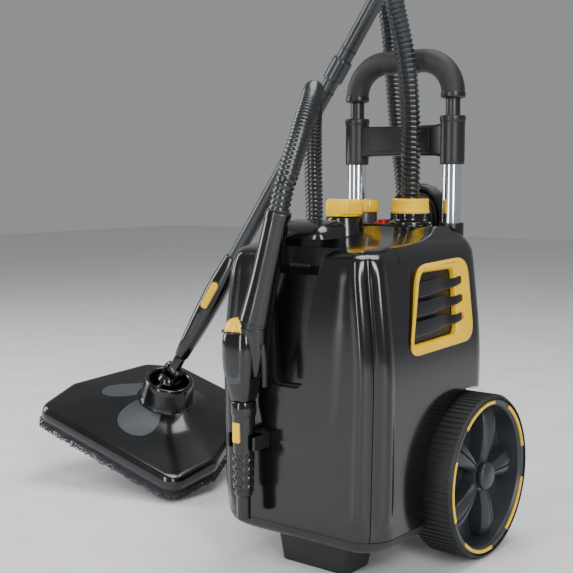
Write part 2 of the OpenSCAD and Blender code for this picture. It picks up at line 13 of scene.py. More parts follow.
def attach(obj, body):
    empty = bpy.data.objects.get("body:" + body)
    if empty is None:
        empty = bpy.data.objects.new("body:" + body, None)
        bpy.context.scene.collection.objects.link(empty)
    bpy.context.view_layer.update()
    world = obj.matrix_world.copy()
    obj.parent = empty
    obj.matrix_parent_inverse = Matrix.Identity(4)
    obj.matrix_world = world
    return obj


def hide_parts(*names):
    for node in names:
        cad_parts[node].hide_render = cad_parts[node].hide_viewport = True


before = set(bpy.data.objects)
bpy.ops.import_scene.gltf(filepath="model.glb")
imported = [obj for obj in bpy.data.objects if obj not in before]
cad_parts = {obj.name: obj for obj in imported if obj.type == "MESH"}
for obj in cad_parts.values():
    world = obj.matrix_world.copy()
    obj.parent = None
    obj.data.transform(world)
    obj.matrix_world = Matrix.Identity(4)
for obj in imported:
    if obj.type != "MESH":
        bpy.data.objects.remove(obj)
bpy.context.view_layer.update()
scene = bpy.context.scene
MM = 0.001

# %% [markdown]
# The camera stands low at the machine's front right corner, about 1.3 m away, and looks
# slightly down. It is set first, because it decides where spare hose may lie unseen.

# %% Camera
lens = bpy.data.cameras.new("view")
lens.lens = 65.97
lens.sensor_width = 36
camera = bpy.data.objects.new("view", lens)
camera.location = (0.715, -0.994, 0.464)
camera.rotation_euler = (math.radians(90 - 6.11), 0, math.radians(37.92))
scene.collection.objects.link(camera)
scene.camera = camera
print("camera at", tuple(round(v, 3) for v in camera.location))

# %% [markdown]
# Glossy black plastic is drawn by what it reflects, so the lights are wide soft panels:
# two tall ones for the upright highlights on the ridges, and one overhead for the deck.

# %% Floor and lights
def soft_light(name, place, target, size, power, tint=(1, 1, 1)):
    data = bpy.data.lights.new(name, "AREA")
    data.shape = "RECTANGLE"
    data.size, data.size_y = size
    data.energy = power
    data.color = tint
    lamp = bpy.data.objects.new(name, data)
    lamp.location = place
    lamp.rotation_euler = (Vector(target) - Vector(place)).to_track_quat("-Z", "Y").to_euler()
    scene.collection.objects.link(lamp)


soft_light("key panel", (2.0, -1.4, 1.5), (0.05, 0, 0.25), (0.5, 2.2), 55)
soft_light("front strip", (-0.25, -2.4, 1.1), (0, 0, 0.25), (0.35, 2.4), 32)
soft_light("left panel", (-2.2, -0.6, 1.2), (-0.1, 0.1, 0.3), (0.8, 2.0), 34)
soft_light("overhead panel", (0.1, 0.5, 2.4), (0, 0.1, 0.3), (1.6, 1.2), 42)
world = bpy.data.worlds.new("studio")
world.use_nodes = True
world.node_tree.nodes["Background"].inputs["Color"].default_value = (0.86, 0.88, 0.9, 1)
world.node_tree.nodes["Background"].inputs["Strength"].default_value = 0.34
scene.world = world
floor_mesh = bpy.data.meshes.new("floor")
floor_mesh.from_pydata([(-6, -6, 0), (6, -6, 0), (6, 6, 0), (-6, 6, 0)], [], [(0, 1, 2, 3)])
floor = bpy.data.objects.new("floor", floor_mesh)
scene.collection.objects.link(floor)
print("4 lights and a floor")

# %% [markdown]
# Every finish is a small node tree. Fine noise gives the mould's texture as a bump, and
# broad noise varies roughness and colour, as handling does to real plastic.

# %% Finishes
def finish(name, colour, rough=0.3, grain=1400, bump=0.04, vary=0.2, metal=0.0,
           coat=0.0, shade=0.15, patch=14):
    material = bpy.data.materials.new(name)
    material.use_nodes = True
    tree = material.node_tree
    shader = tree.nodes["Principled BSDF"]
    where = tree.nodes.new("ShaderNodeTexCoord")

    def noise(scale, detail):
        node = tree.nodes.new("ShaderNodeTexNoise")
        node.inputs["Scale"].default_value = scale
        node.inputs["Detail"].default_value = detail
        tree.links.new(where.outputs["Object"], node.inputs["Vector"])
        return node

    broad = noise(patch, 3)
    spread = tree.nodes.new("ShaderNodeMapRange")
    spread.inputs["From Min"].default_value = 0.3
    spread.inputs["From Max"].default_value = 0.7
    spread.inputs["To Min"].default_value = rough * (1 - vary)
    spread.inputs["To Max"].default_value = rough * (1 + vary)
    tree.links.new(broad.outputs["Fac"], spread.inputs["Value"])
    tree.links.new(spread.outputs["Result"], shader.inputs["Roughness"])
    tones = tree.nodes.new("ShaderNodeValToRGB")
    tones.color_ramp.elements[0].position = 0.35
    tones.color_ramp.elements[1].position = 0.65
    tones.color_ramp.elements[0].color = [c * (1 - shade) for c in colour] + [1]
    tones.color_ramp.elements[1].color = [min(1, c * (1 + shade)) for c in colour] + [1]
    tree.links.new(broad.outputs["Fac"], tones.inputs["Fac"])
    tree.links.new(tones.outputs["Color"], shader.inputs["Base Color"])
    lift = tree.nodes.new("ShaderNodeBump")
    lift.inputs["Strength"].default_value = bump
    lift.inputs["Distance"].default_value = 0.0004
    tree.links.new(noise(grain, 2).outputs["Fac"], lift.inputs["Height"])
    tree.links.new(lift.outputs["Normal"], shader.inputs["Normal"])
    shader.inputs["Metallic"].default_value = metal
    if coat:
        shader.inputs["Coat Weight"].default_value = coat
        shader.inputs["Coat Roughness"].default_value = 0.05
    return material


gloss = finish("gloss black casing", (0.0035, 0.004, 0.0048), 0.17, 900, 0.012, 0.25, coat=0.35)
satin = finish("satin black moulding", (0.010, 0.0105, 0.0115), 0.36, 2200, 0.10)
slate = finish("slate grey moulding", (0.045, 0.052, 0.058), 0.34, 2200, 0.08)
yellow = finish("yellow moulding", (0.97, 0.58, 0.0), 0.26, 1500, 0.03, shade=0.05, coat=0.1)
spoke_grey = finish("wheel grey", (0.028, 0.032, 0.036), 0.38, 2000, 0.12)
tread_rubber = finish("tyre rubber", (0.008, 0.0085, 0.009), 0.62, 1200, 0.25)
chrome = finish("polished tube", (0.83, 0.85, 0.88), 0.09, 260, 0.01, 0.3, metal=1.0, shade=0.03)
steel = finish("plain steel", (0.45, 0.46, 0.48), 0.34, 700, 0.08, metal=1.0)
copper = finish("copper pipe", (0.72, 0.34, 0.16), 0.3, 700, 0.06, metal=1.0)
ceramic = finish("ceramic white", (0.72, 0.70, 0.64), 0.4)
seal_red = finish("silicone seal", (0.42, 0.04, 0.02), 0.5)
foam = finish("grip foam", (0.010, 0.0105, 0.0115), 0.55, 2600, 0.35, patch=30)
jacket = finish("cord jacket", (0.009, 0.0095, 0.0105), 0.42, 1500, 0.08)
hose_skin = finish("hose rubber", (0.014, 0.016, 0.018), 0.27, 1300, 0.06, coat=0.25)
red = finish("switch red", (0.42, 0.012, 0.010), 0.25, coat=0.4)
wand_grey = finish("wand grey", (0.030, 0.033, 0.036), 0.28, 1700, 0.05)
terry = finish("terry cloth", (0.05, 0.053, 0.06), 0.95, 900, 0.9, shade=0.35, patch=120)
pale = finish("light cap", (0.52, 0.52, 0.44), 0.4)
floor.data.materials.append(finish("pale floor", (0.78, 0.79, 0.80), 0.6, 60, 0.02, shade=0.01))
print(len(bpy.data.materials), "finishes")

# %% [markdown]
# A finished piece rides on its body, may stand for CAD nodes, takes its finish, and has
# its doubles merged and its faces turned outwards.

# %% Making and finishing a mesh
def mesh_piece(name, points, faces, sharp=32):
    mesh = bpy.data.meshes.new(name)
    mesh.from_pydata([tuple(p) for p in points], [], faces)
    piece = bpy.data.objects.new(name, mesh)
    scene.collection.objects.link(piece)
    tidy(piece, sharp)
    return piece


def tidy(piece, sharp=32):
    work = bmesh.new()
    work.from_mesh(piece.data)
    bmesh.ops.remove_doubles(work, verts=work.verts, dist=2e-6)
    bmesh.ops.recalc_face_normals(work, faces=work.faces)
    work.to_mesh(piece.data)
    work.free()
    piece.data.shade_smooth()
    piece.data.set_sharp_from_angle(angle=math.radians(sharp))


def done(piece, body, slot, material, *nodes):
    piece.data.materials.clear()
    piece.data.materials.append(material)
    if nodes:
        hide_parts(*nodes)
    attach(piece, body)


def join(name, pieces, sharp=32):
    whole = bmesh.new()
    for piece in pieces:
        whole.from_mesh(piece.data)
        bpy.data.objects.remove(piece)
    mesh = bpy.data.meshes.new(name)
    whole.to_mesh(mesh)
    whole.free()
    result = bpy.data.objects.new(name, mesh)
    scene.collection.objects.link(result)
    mesh.shade_smooth()
    mesh.set_sharp_from_angle(angle=math.radians(sharp))
    return result


# %% [markdown]
# Three ways of making a moulded shape cover nearly everything here: a skin over a stack
# of rings, a turned profile, and a round section swept along a path. Corners of outlines
# and profiles are softened first, because no moulding has a knife edge.

# %% Rings, turned profiles and swept tubes
def skin(name, rings, sharp=32, closed=False):
    count = len(rings[0])
    points = [p for ring in rings for p in ring]
    faces = []
    for i in range(len(rings) if closed else len(rings) - 1):
        a, b = i * count, (i + 1) % len(rings) * count
        for k in range(count):
            m = (k + 1) % count
            faces.append((a + k, a + m, b + m, b + k))
    if not closed:
        faces.append(tuple(range(count))[::-1])
        faces.append(tuple(range((len(rings) - 1) * count, len(rings) * count)))
    return mesh_piece(name, points, faces, sharp)


def soften(outline, radius, steps=4, closed=True):
    out = []
    total = len(outline)
    for i, corner in enumerate(outline):
        if not closed and i in (0, total - 1):
            out.append(corner)
            continue
        here = Vector(corner)
        before = Vector(outline[i - 1]) - here
        after = Vector(outline[(i + 1) % total]) - here
        trim = min(radius, before.length * 0.48, after.length * 0.48)
        a, b = here + before.normalized() * trim, here + after.normalized() * trim
        for s in range(steps + 1):
            t = s / steps
            out.append(tuple(a * (1 - t) ** 2 + here * 2 * t * (1 - t) + b * t * t))
    return out


def axes_for(direction):
    up = Vector(direction).normalized()
    side = up.cross(Vector((0, 1, 0))) if abs(up.y) < 0.9 else up.cross(Vector((1, 0, 0)))
    side.normalize()
    return side, up.cross(side), up


def turned(name, profile, at, axis=(0, 0, 1), steps=64, radius=0.8):
    side, other, up = axes_for(axis)
    base = Vector(at)
    outline = soften(profile, radius, 3, closed=False)
    rings = []
    for r, z in outline:
        ring = []
        for k in range(steps):
            a = 2 * math.pi * k / steps
            ring.append((base + up * z + (side * math.cos(a) + other * math.sin(a)) * max(r, 0.001)) * MM)
        rings.append(ring)
    return skin(name, rings)


def path_frames(path):
    points = [Vector(p) for p in path]
    last = None
    for i, p in enumerate(points):
        t = (points[min(i + 1, len(points) - 1)] - points[max(i - 1, 0)]).normalized()
        if last is None:
            last = axes_for(t)[0]
        last = (last - t * last.dot(t)).normalized()
        yield p, last, t.cross(last)


def tube_along(name, path, radius, sides, sharp=40):
    rings = []
    total = len(path) - 1
    for i, (p, u, v) in enumerate(path_frames(path)):
        r = radius(i / total) if callable(radius) else radius
        rings.append([(p + u * r * math.cos(a) + v * r * math.sin(a)) * MM
                      for a in (2 * math.pi * k / sides for k in range(sides))])
    return skin(name, rings, sharp)


def smooth_path(points, per):
    pts = [Vector(p) for p in points]
    out = []
    for i in range(len(pts) - 1):
        a, b = pts[max(i - 1, 0)], pts[i]
        c, d = pts[i + 1], pts[min(i + 2, len(pts) - 1)]
        for s in range(per):
            t = s / per
            out.append(0.5 * ((2 * b) + (c - a) * t + (2 * a - 5 * b + 4 * c - d) * t * t
                              + (3 * b - a - 3 * c + d) * t ** 3))
    out.append(pts[-1])
    return out


def step(low, high, value):
    t = min(1.0, max(0.0, (value - low) / (high - low)))
    return t * t * (3 - 2 * t)


# %% [markdown]
# A slab is an outline with thickness and rounded edges: lids, inlays, buttons.
# A `place` function carries it from its own flat drawing to the leaning surface it sits on.

# %% Slabs
def inset(outline, amount):
    out = []
    total = len(outline)
    for i, p in enumerate(outline):
        t = Vector(outline[(i + 1) % total]) - Vector(outline[i - 1])
        if t.length < 1e-9:
            out.append(p)
            continue
        t.normalize()
        out.append((p[0] - t.y * amount, p[1] + t.x * amount))
    return out


def slab(name, outline, low, high, edge, place, sharp=32):
    rings = []
    for s in range(5):
        a = math.pi / 2 * s / 4
        rings.append((inset(outline, edge * (1 - math.sin(a))), low + edge * (1 - math.cos(a))))
    for s in range(5):
        a = math.pi / 2 * s / 4
        rings.append((inset(outline, edge * (1 - math.cos(a))), high - edge * (1 - math.sin(a))))
    return skin(name, [[Vector(place(x, y, z)) * MM for x, y in ring] for ring, z in rings], sharp)


def flat(x, y, z):
    return x, y, z


def round_box(x0, y0, x1, y1, radius, steps=6):
    return soften([(x0, y0), (x1, y0), (x1, y1), (x0, y1)], radius, steps)


# %% [markdown]
# Openings are cut with booleans. The cutters are made by the same helpers, used once and
# thrown away, so the finished mesh carries no modifier.

# %% Cutting
def cut(piece, cutter, how="DIFFERENCE", keep=False):
    modifier = piece.modifiers.new("cut", "BOOLEAN")
    modifier.operation = how
    modifier.object = cutter
    modifier.solver = "MANIFOLD"
    apply_all(piece)
    if not keep:
        bpy.data.objects.remove(cutter)


def apply_all(piece, sharp=32):
    bpy.context.view_layer.update()
    shaped = piece.evaluated_get(bpy.context.evaluated_depsgraph_get())
    mesh = bpy.data.meshes.new_from_object(shaped)
    piece.modifiers.clear()
    piece.data = mesh
    mesh.shade_smooth()
    mesh.set_sharp_from_angle(angle=math.radians(sharp))


def copy_of(piece, name):
    twin = bpy.data.objects.new(name, piece.data.copy())
    scene.collection.objects.link(twin)
    return twin


# %% [markdown]
# The steam hose comes first, with its whole length. Its ribs repeat along a path, so Geometry
# Nodes make them: the path is cut into short steps, a sine of the distance swells the
# radius, and a circle is swept along it.

# %% Hose route
hose_route = [
    (35, 128, 434), (35, 128, 480), (34, 128, 530), (30, 128, 580), (20, 129, 630),
    (6, 131, 680), (-4, 139, 728), (-16, 160, 765), (-38, 190, 788), (-70, 226, 792),
    (-97, 262, 776), (-113, 291, 744), (-119, 309, 705), (-119, 320, 660), (-115, 324, 600),
    (-108, 325, 530), (-97, 325, 450), (-90, 325, 380), (-84, 325, 300), (-81, 325, 230),
    (-81, 325, 165), (-83, 324, 113), (-97, 321, 63), (-135, 314, 25), (-182, 306, 13.5),
    (-229, 297, 25), (-263, 287, 58), (-279, 277, 105), (-271, 266, 154), (-247, 253, 198),
    (-215, 238, 239), (-188, 219, 286),
    (-166, 196, 340), (-152, 182, 400), (-143, 168, 450), (-133, 153, 495), (-118, 132, 532),
    (-98, 107, 557), (-76, 78, 567), (-55, 46, 564), (-35, 13, 549), (-18, -20, 526),
    (-6, -47, 501), (1, -68, 478), (4.5, -80, 462), (3.5, -86, 448), (-2.5, -86, 426)]
hose_line = smooth_path(hose_route, 5)
hose_length = sum((b - a).length for a, b in zip(hose_line, hose_line[1:])) * MM
print("hose route is", round(hose_length, 3), "m long")


# %% Corrugated hose
def link(tree, a, out, b, socket):
    tree.links.new(a.outputs[out], b.inputs[socket])


def new_tree(name, **inputs):
    tree = bpy.data.node_groups.new(name, "GeometryNodeTree")
    for label, kind in (("Geometry", "Geometry"), *inputs.items(), ("Material", "Material")):
        tree.interface.new_socket(label, in_out="INPUT", socket_type="NodeSocket" + kind)
    tree.interface.new_socket("Geometry", in_out="OUTPUT", socket_type="NodeSocketGeometry")
    return tree, tree.nodes.new, tree.nodes.new("NodeGroupInput")


def painted_end(tree, start, last, out):
    real = tree.nodes.new("GeometryNodeRealizeInstances")
    paint = tree.nodes.new("GeometryNodeSetMaterial")
    link(tree, last, out, real, "Geometry")
    link(tree, real, "Geometry", paint, "Geometry")
    link(tree, start, "Material", paint, "Material")
    link(tree, paint, "Geometry", tree.nodes.new("NodeGroupOutput"), "Geometry")


def math_node(tree, operation, value=0.5):
    node = tree.nodes.new("ShaderNodeMath")
    node.operation = operation
    node.inputs[1].default_value = value
    return node


def corrugation_tree():
    tree, make, start = new_tree("corrugated hose", Radius="Float", Ribs="Float", Pitch="Float")
    cuts = make("GeometryNodeResampleCurve")
    cuts.mode = "LENGTH"
    quarter = math_node(tree, "DIVIDE", 4.0)
    link(tree, start, "Pitch", quarter, 0)
    link(tree, start, "Geometry", cuts, "Curve")
    link(tree, quarter, 0, cuts, "Length")
    along = make("GeometryNodeSplineParameter")
    ribs_so_far = math_node(tree, "DIVIDE")
    link(tree, along, "Length", ribs_so_far, 0)
    link(tree, start, "Pitch", ribs_so_far, 1)
    angle = math_node(tree, "MULTIPLY", 2 * math.pi)
    link(tree, ribs_so_far, 0, angle, 0)
    wave = math_node(tree, "COSINE")
    link(tree, angle, 0, wave, 0)
    swell = math_node(tree, "MULTIPLY_ADD")
    link(tree, wave, 0, swell, 0)
    link(tree, start, "Ribs", swell, 1)
    link(tree, start, "Radius", swell, 2)
    circle = make("GeometryNodeCurvePrimitiveCircle")
    circle.inputs["Resolution"].default_value = 18
    circle.inputs["Radius"].default_value = 1.0
    sweep = make("GeometryNodeCurveToMesh")
    sweep.inputs["Fill Caps"].default_value = True
    link(tree, cuts, "Curve", sweep, "Curve")
    link(tree, circle, "Curve", sweep, "Profile Curve")
    link(tree, swell, 0, sweep, "Scale")
    painted_end(tree, start, sweep, "Mesh")
    return tree


def curve_object(name, points):
    data = bpy.data.curves.new(name, "CURVE")
    data.dimensions = "3D"
    spline = data.splines.new("POLY")
    spline.points.add(len(points) - 1)
    for slot, p in zip(spline.points, points):
        slot.co = (p[0] * MM, p[1] * MM, p[2] * MM, 1)
    item = bpy.data.objects.new(name, data)
    scene.collection.objects.link(item)
    return item


def grow(source, tree, values, name):
    modifier = source.modifiers.new("grow", "NODES")
    modifier.node_group = tree
    for item in tree.interface.items_tree:
        if item.in_out == "INPUT" and item.name in values:
            modifier[item.identifier] = values[item.name]
    bpy.context.view_layer.update()
    shaped = source.evaluated_get(bpy.context.evaluated_depsgraph_get())
    mesh = bpy.data.meshes.new_from_object(shaped)
    bpy.data.objects.remove(source)
    result = bpy.data.objects.new(name, mesh)
    scene.collection.objects.link(result)
    return result


hose = grow(curve_object("hose line", hose_line), corrugation_tree(),
            {"Radius": 0.0113, "Ribs": 0.0012, "Pitch": 0.0062, "Material": hose_skin}, "steam_hose")
tidy(hose, 60)
done(hose, "machine", "hose_black", hose_skin, "hose")
tuple(c * MM for c in hose_route[0])
print("hose has", len(hose.data.polygons), "faces")

# %% [markdown]
# The mains lead leaves a ribbed strain relief, drops a little, and is wound in eleven
# turns on the two hooks at the rear. The turns lie side by side in three layers, one inside
# the other, so the winding is one path whose radius and depth change from turn to turn.

# %% Power cord
cord_lead = smooth_path([
    (45, 210, 120), (45, 222, 121), (43, 234, 130), (38, 240, 147), (32, 236, 166),
    (27, 226, 186), (22, 213, 202), (14, 202, 213)], 5)
TURNS, STEPS_A_TURN = 11, 32
HOOK_X, HOOK_LOW, HOOK_HIGH = 3, 252, 412
STRAIGHT = HOOK_HIGH - HOOK_LOW
PLUG = (-25, 232.4, 300)
# turns wound so far, depth, radius
wound = [(0, 194, 36), (3, 218, 36), (4, 218, 28), (7, 194, 28), (8, 194, 20), (TURNS, 218, 20)]


def winding(t):
    for (t0, y0, r0), (t1, y1, r1) in zip(wound, wound[1:]):
        if t <= t1:
            s = (t - t0) / (t1 - t0)
            return y0 + (y1 - y0) * s, r0 + (r1 - r0) * s
    return wound[-1][1:]


hank = []
for i in range(TURNS * STEPS_A_TURN + 1):
    t = i / STEPS_A_TURN
    y, r = winding(t)
    part = (t % 1.0) * (2 * math.pi * r + 2 * STRAIGHT)
    half = math.pi * r
    if part < half / 2:
        a = part / r
        x, z = -r * math.sin(a), HOOK_LOW - r * math.cos(a)
    elif part < half / 2 + STRAIGHT:
        x, z = -r, HOOK_LOW + part - half / 2
    elif part < half * 1.5 + STRAIGHT:
        a = (part - half / 2 - STRAIGHT) / r
        x, z = -r * math.cos(a), HOOK_HIGH + r * math.sin(a)
    elif part < half * 1.5 + 2 * STRAIGHT:
        x, z = r, HOOK_HIGH - (part - half * 1.5 - STRAIGHT)
    else:
        a = (part - half * 1.5 - 2 * STRAIGHT) / r
        x, z = r * math.cos(a), HOOK_LOW - r * math.sin(a)
    hank.append(Vector((HOOK_X + x, y, z)))
cord_tail = smooth_path([(3, 218, 232), (-6, 221, 235), (-14, 226, 243), (-21, 230, 257),
                         (-24.5, 232, 277), (-25, 232, 300)], 4)[1:]
cord_line = cord_lead + hank + cord_tail
cord_length = sum((b - a).length for a, b in zip(cord_line, cord_line[1:])) * MM
cord = tube_along("mains_cord", cord_line, 4, 12, sharp=60)


def on_plug(x, y, z):
    return PLUG[0] + x, PLUG[1] - 10 + y, PLUG[2] + z


plug_body = slab("plug body", round_box(-11, 0, 11, 20, 6), 8, 38, 3, on_plug)
plug_neck = turned("plug neck", [(0, 0), (5, 0), (6, 3), (5, 4.5), (6.8, 6), (6, 7.5), (8, 9.5),
                                 (0, 9.5)], PLUG, radius=0.5, steps=32)
plug_pins = [slab("pin", round_box(x, 7, x + 1.4, 13, 0.5, 3), 37.8, 55, 0.3, on_plug)
             for x in (-6.4, 5)]
plug = join("mains_plug", [plug_body, plug_neck] + plug_pins)
done(plug, "machine", "cord_black", satin, "cord_plug")
done(cord, "machine", "cord_black", jacket, "power_cord", "cord_hank")
relief_profile = [(0, 0), (8, 0), (8, 10), (7.6, 10)]
for k in range(5):
    z, rib, groove = 11 + 3 * k, 7.6 - 0.4 * k, 6.2 - 0.3 * k
    relief_profile += [(rib, z), (rib, z + 1.8), (groove, z + 2.0), (groove, z + 2.8)]
relief_profile += [(4.6, 26), (0, 26)]
relief = turned("strain_relief", relief_profile, (45, 184, 120), (0, 1, 0), radius=0.3, steps=32)
done(relief, "machine", "cord_black", satin, "cord_gland")
print("power cord is", round(cord_length, 2), "m long")

# %% [markdown]
# The casing is a stack of rounded rectangles that narrows towards the top. Between its
# few given levels a monotone curve fills in the rest, so it bulges without ripples.

# %% Casing levels
# height, half width, front, rear, corner radius
levels = [
    (44, 100, -54, 160, 30), (50, 110, -62, 172, 34), (64, 115, -66, 178, 36),
    (110, 117, -67, 183, 36), (235, 118, -67, 186, 34), (345, 107.5, -65, 186, 32),
    (370, 103, -62, 186, 30), (377, 99.5, -55, 185.5, 29), (382, 96, -22, 184, 28),
    (387, 91, 38, 182, 26), (393, 85.5, 74, 180, 24), (401, 78, 100, 178, 20)]


def monotone(xs, ys):
    gaps = [b - a for a, b in zip(xs, xs[1:])]
    slopes = [(b - a) / g for a, b, g in zip(ys, ys[1:], gaps)]
    tilts = [slopes[0]]
    for a, b in zip(slopes, slopes[1:]):
        tilts.append(0 if a * b <= 0 else 2 * a * b / (a + b))
    tilts.append(slopes[-1])

    def at(x):
        i = max(k for k in range(len(gaps)) if x >= xs[k] or k == 0)
        t = (x - xs[i]) / gaps[i]
        return ((2 * t ** 3 - 3 * t * t + 1) * ys[i] + (t ** 3 - 2 * t * t + t) * gaps[i] * tilts[i]
                + (3 * t * t - 2 * t ** 3) * ys[i + 1] + (t ** 3 - t * t) * gaps[i] * tilts[i + 1])
    return at


level_curves = [monotone([v[0] for v in levels], [v[k] for v in levels]) for k in range(1, 5)]

# %% [markdown]
# Two upright rolls flank the seam at each front corner, and a broad U-shaped panel stands
# proud of the lower front. Both are small pushes along the surface's own normal.

# %% Casing rings
def roll(angle, centre, spread):
    t = (angle - centre) / spread
    return math.cos(t * math.pi / 2) ** 2 if abs(t) < 1 else 0


def corner_push(angle, z):
    tall = step(64, 96, z) * (1 - step(350, 388, z))
    return tall * (3.0 * roll(angle, 72, 20) + 2.8 * roll(angle, 22, 20) - 2.2 * roll(angle, 47, 9))


def front_push(x, z):
    reach = 56 + 0.06 * max(0, z - 205)
    away = abs(x - 4) - reach if z > 205 else math.hypot(x - 4, z - 205) - reach
    return 2.4 * (1 - step(-9, 9, away)) * (1 - step(352, 372, z))


def casing_ring(z):
    half, front, rear, corner = (curve(z) for curve in level_curves)
    ring = []
    for k in range(72):
        x = (half - corner) * (k / 36 - 1)
        ring.append((x, front - front_push(x, z), z))
    for k in range(36):
        a = k / 36 * 90
        out = corner + corner_push(90 - a, z)
        ring.append((half - corner + out * math.sin(math.radians(a)),
                     front + corner - out * math.cos(math.radians(a)), z))
    for k in range(40):
        ring.append((half, front + corner + (rear - front - 2 * corner) * k / 40, z))
    for k in range(12):
        a = math.radians(k / 12 * 90)
        ring.append((half - corner + corner * math.cos(a), rear - corner + corner * math.sin(a), z))
    for k in range(24):
        ring.append(((half - corner) * (1 - k / 12), rear, z))
    for k in range(12):
        a = math.radians(k / 12 * 90)
        ring.append((corner - half - corner * math.sin(a), rear - corner + corner * math.cos(a), z))
    for k in range(40):
        ring.append((-half, rear - corner - (rear - front - 2 * corner) * k / 40, z))
    for k in range(36):
        a = k / 36 * 90
        out = corner + corner_push(a, z)
        ring.append((corner - half - out * math.cos(math.radians(a)),
                     front + corner - out * math.sin(math.radians(a)), z))
    return [Vector(p) * MM for p in ring]


heights = [44 + 2.2 * k for k in range(11)] + [68 + 5.2 * k for k in range(54)]
heights += [349 + 2.0 * k for k in range(17)] + [383 + 1.0 * k for k in range(18)] + [401]
casing = skin("casing", [casing_ring(z) for z in heights])
print("casing form:", len(casing.data.polygons), "faces")

# %% [markdown]
# The one form is cut into the front moulding, the rear moulding and the base pan, with
# thin gaps as real seams, and each gets its openings: the front recess with its hood, the
# wheel arches, the handle's bores and the pockets for the side vents.

# %% Recess and hood shapes
def box(name, low, high):
    ring = [(low[0], low[1]), (high[0], low[1]), (high[0], high[1]), (low[0], high[1])]
    return skin(name, [[Vector((x, y, z)) * MM for x, y in ring] for z in (low[2], high[2])])


def recess(name, grow, front, back):
    left, right = -grow, grow
    outline = soften([(left - 38, 390 + grow), (right + 44, 390 + grow), (right + 28, 332),
                      (right + 20, 290), (right + 16, 226 - grow), (left - 28, 226 - grow)],
                     13 + grow, 8)
    return skin(name, [[Vector((x, y, z)) * MM for x, z in outline]
                       for y in (front, -58, -57, -54, back)])


def seam_side(name, gap):
    low, high, foot, top = -58 - gap, -6 - gap, 60.5, 430
    drawing = [(-110, foot), (low, foot), (low, 352), (high, 366), (high, top), (-110, top)]
    return skin(name, [[Vector((x, y, z)) * MM for y, z in drawing] for x in (-160, 160)])


hood_profile = soften([(-64, 372), (-64, 399), (-50, 408), (-14, 412), (-7, 406), (-7, 372)], 9, 6)
hood_rings = []
for x, shrink in ((-42, 6), (-40, 3), (-36, 1), (-31, 0), (22, 0), (29, 1), (34, 3.2), (37, 7)):
    hood_rings.append([Vector((x, y, z)) * MM for y, z in inset(hood_profile, -shrink)])
print("recess and hood drawn")

# %% Front moulding
hood = skin("hood", hood_rings)
front_shell = copy_of(casing, "front_casing")
cut(front_shell, seam_side("front side", 0.5), "INTERSECT")
cut(front_shell, hood, "UNION")
cut(front_shell, recess("recess cutter", 2.6, -120, -28.2))
done(front_shell, "machine", "casing_black", gloss, "front_shell")
print("front moulding:", len(front_shell.data.polygons), "faces")

# %% Recess liner and panel
liner = recess("recess_lining", 2.4, -63.5, -28.4)
cut(liner, recess("inside", 0, -120, -30))
cut(liner, casing, "INTERSECT", keep=True)
done(liner, "machine", "recess_grey", satin, "recess_liner")
panel_outline = soften([(-25, 246), (-7, 246), (1, 362), (-30, 362)], 5, 6)
panel = slab("recess_inlay", panel_outline, 0, 3.4, 1.4, lambda x, y, z: (x, -29.9 - z, y))
done(panel, "machine", "recess_grey", slate)
print("recess lined")

# %% Rear moulding and base pan
AXLE_Y, AXLE_Z = 135, 100
TUBE_X, TUBE_Y = 71, 167
SCREW_X, SCREW_Y = 76, 20


def wheel_well(side):
    return turned("well", [(0, 86), (106, 86), (106, 160), (0, 160)], (0, AXLE_Y, AXLE_Z),
                  (side, 0, 0), 96, 0.1)


def bore(name, low, high, radius, x, y, steps):
    return turned(name, [(0, low), (radius, low), (radius, high), (0, high)], (x, y, 0), steps=steps)


def side_place(side):
    lean = math.radians(5.45)

    def place(u, v, w):
        x = 118 + w * math.cos(lean) - v * math.sin(lean)
        return side * x, u, 235 + w * math.sin(lean) + v * math.cos(lean)
    return place


vent_outer = soften([(-6, 25), (145, 29), (141, 131), (24, 127)], 24, 8)
vent_inner = soften([(3, 38), (107, 41), (111, 118), (26, 118)], 9, 8)
rear_shell = copy_of(casing, "rear_casing")
cut(rear_shell, seam_side("rear side", -0.5))
cut(rear_shell, box("pan side", (-200, -200, 0), (200, 300, 61)))
base_pan = copy_of(casing, "base_tray")
cut(base_pan, box("upper side", (-200, -200, 60), (200, 300, 500)))
for side in (-1, 1):
    for shell in (rear_shell, base_pan):
        cut(shell, wheel_well(side))
    cut(rear_shell, slab("vent pocket", inset(vent_outer, 1.5), -14, 30, 0.2, side_place(side)))
    cut(rear_shell, bore("bore", 50, 440, 12.5, side * TUBE_X, TUBE_Y, 48))
    cut(base_pan, bore("bore", 57, 70, 12.5, side * TUBE_X, TUBE_Y, 48))
    for y in (-SCREW_Y, SCREW_Y):
        cut(base_pan, bore("screw hole", 40, 45.4, 4.3, side * SCREW_X, y, 24))
bpy.data.objects.remove(casing)
done(rear_shell, "machine", "casing_black", gloss, "rear_shell")
done(base_pan, "machine", "base_black", satin, "base_pan")
print("rear moulding:", len(rear_shell.data.polygons), "faces")

# %% [markdown]
# The side vents are yellow frames whose inner edge falls away like a funnel. Three dark
# blades curve across the opening and end in tabs that lap over the frame's rear edge.

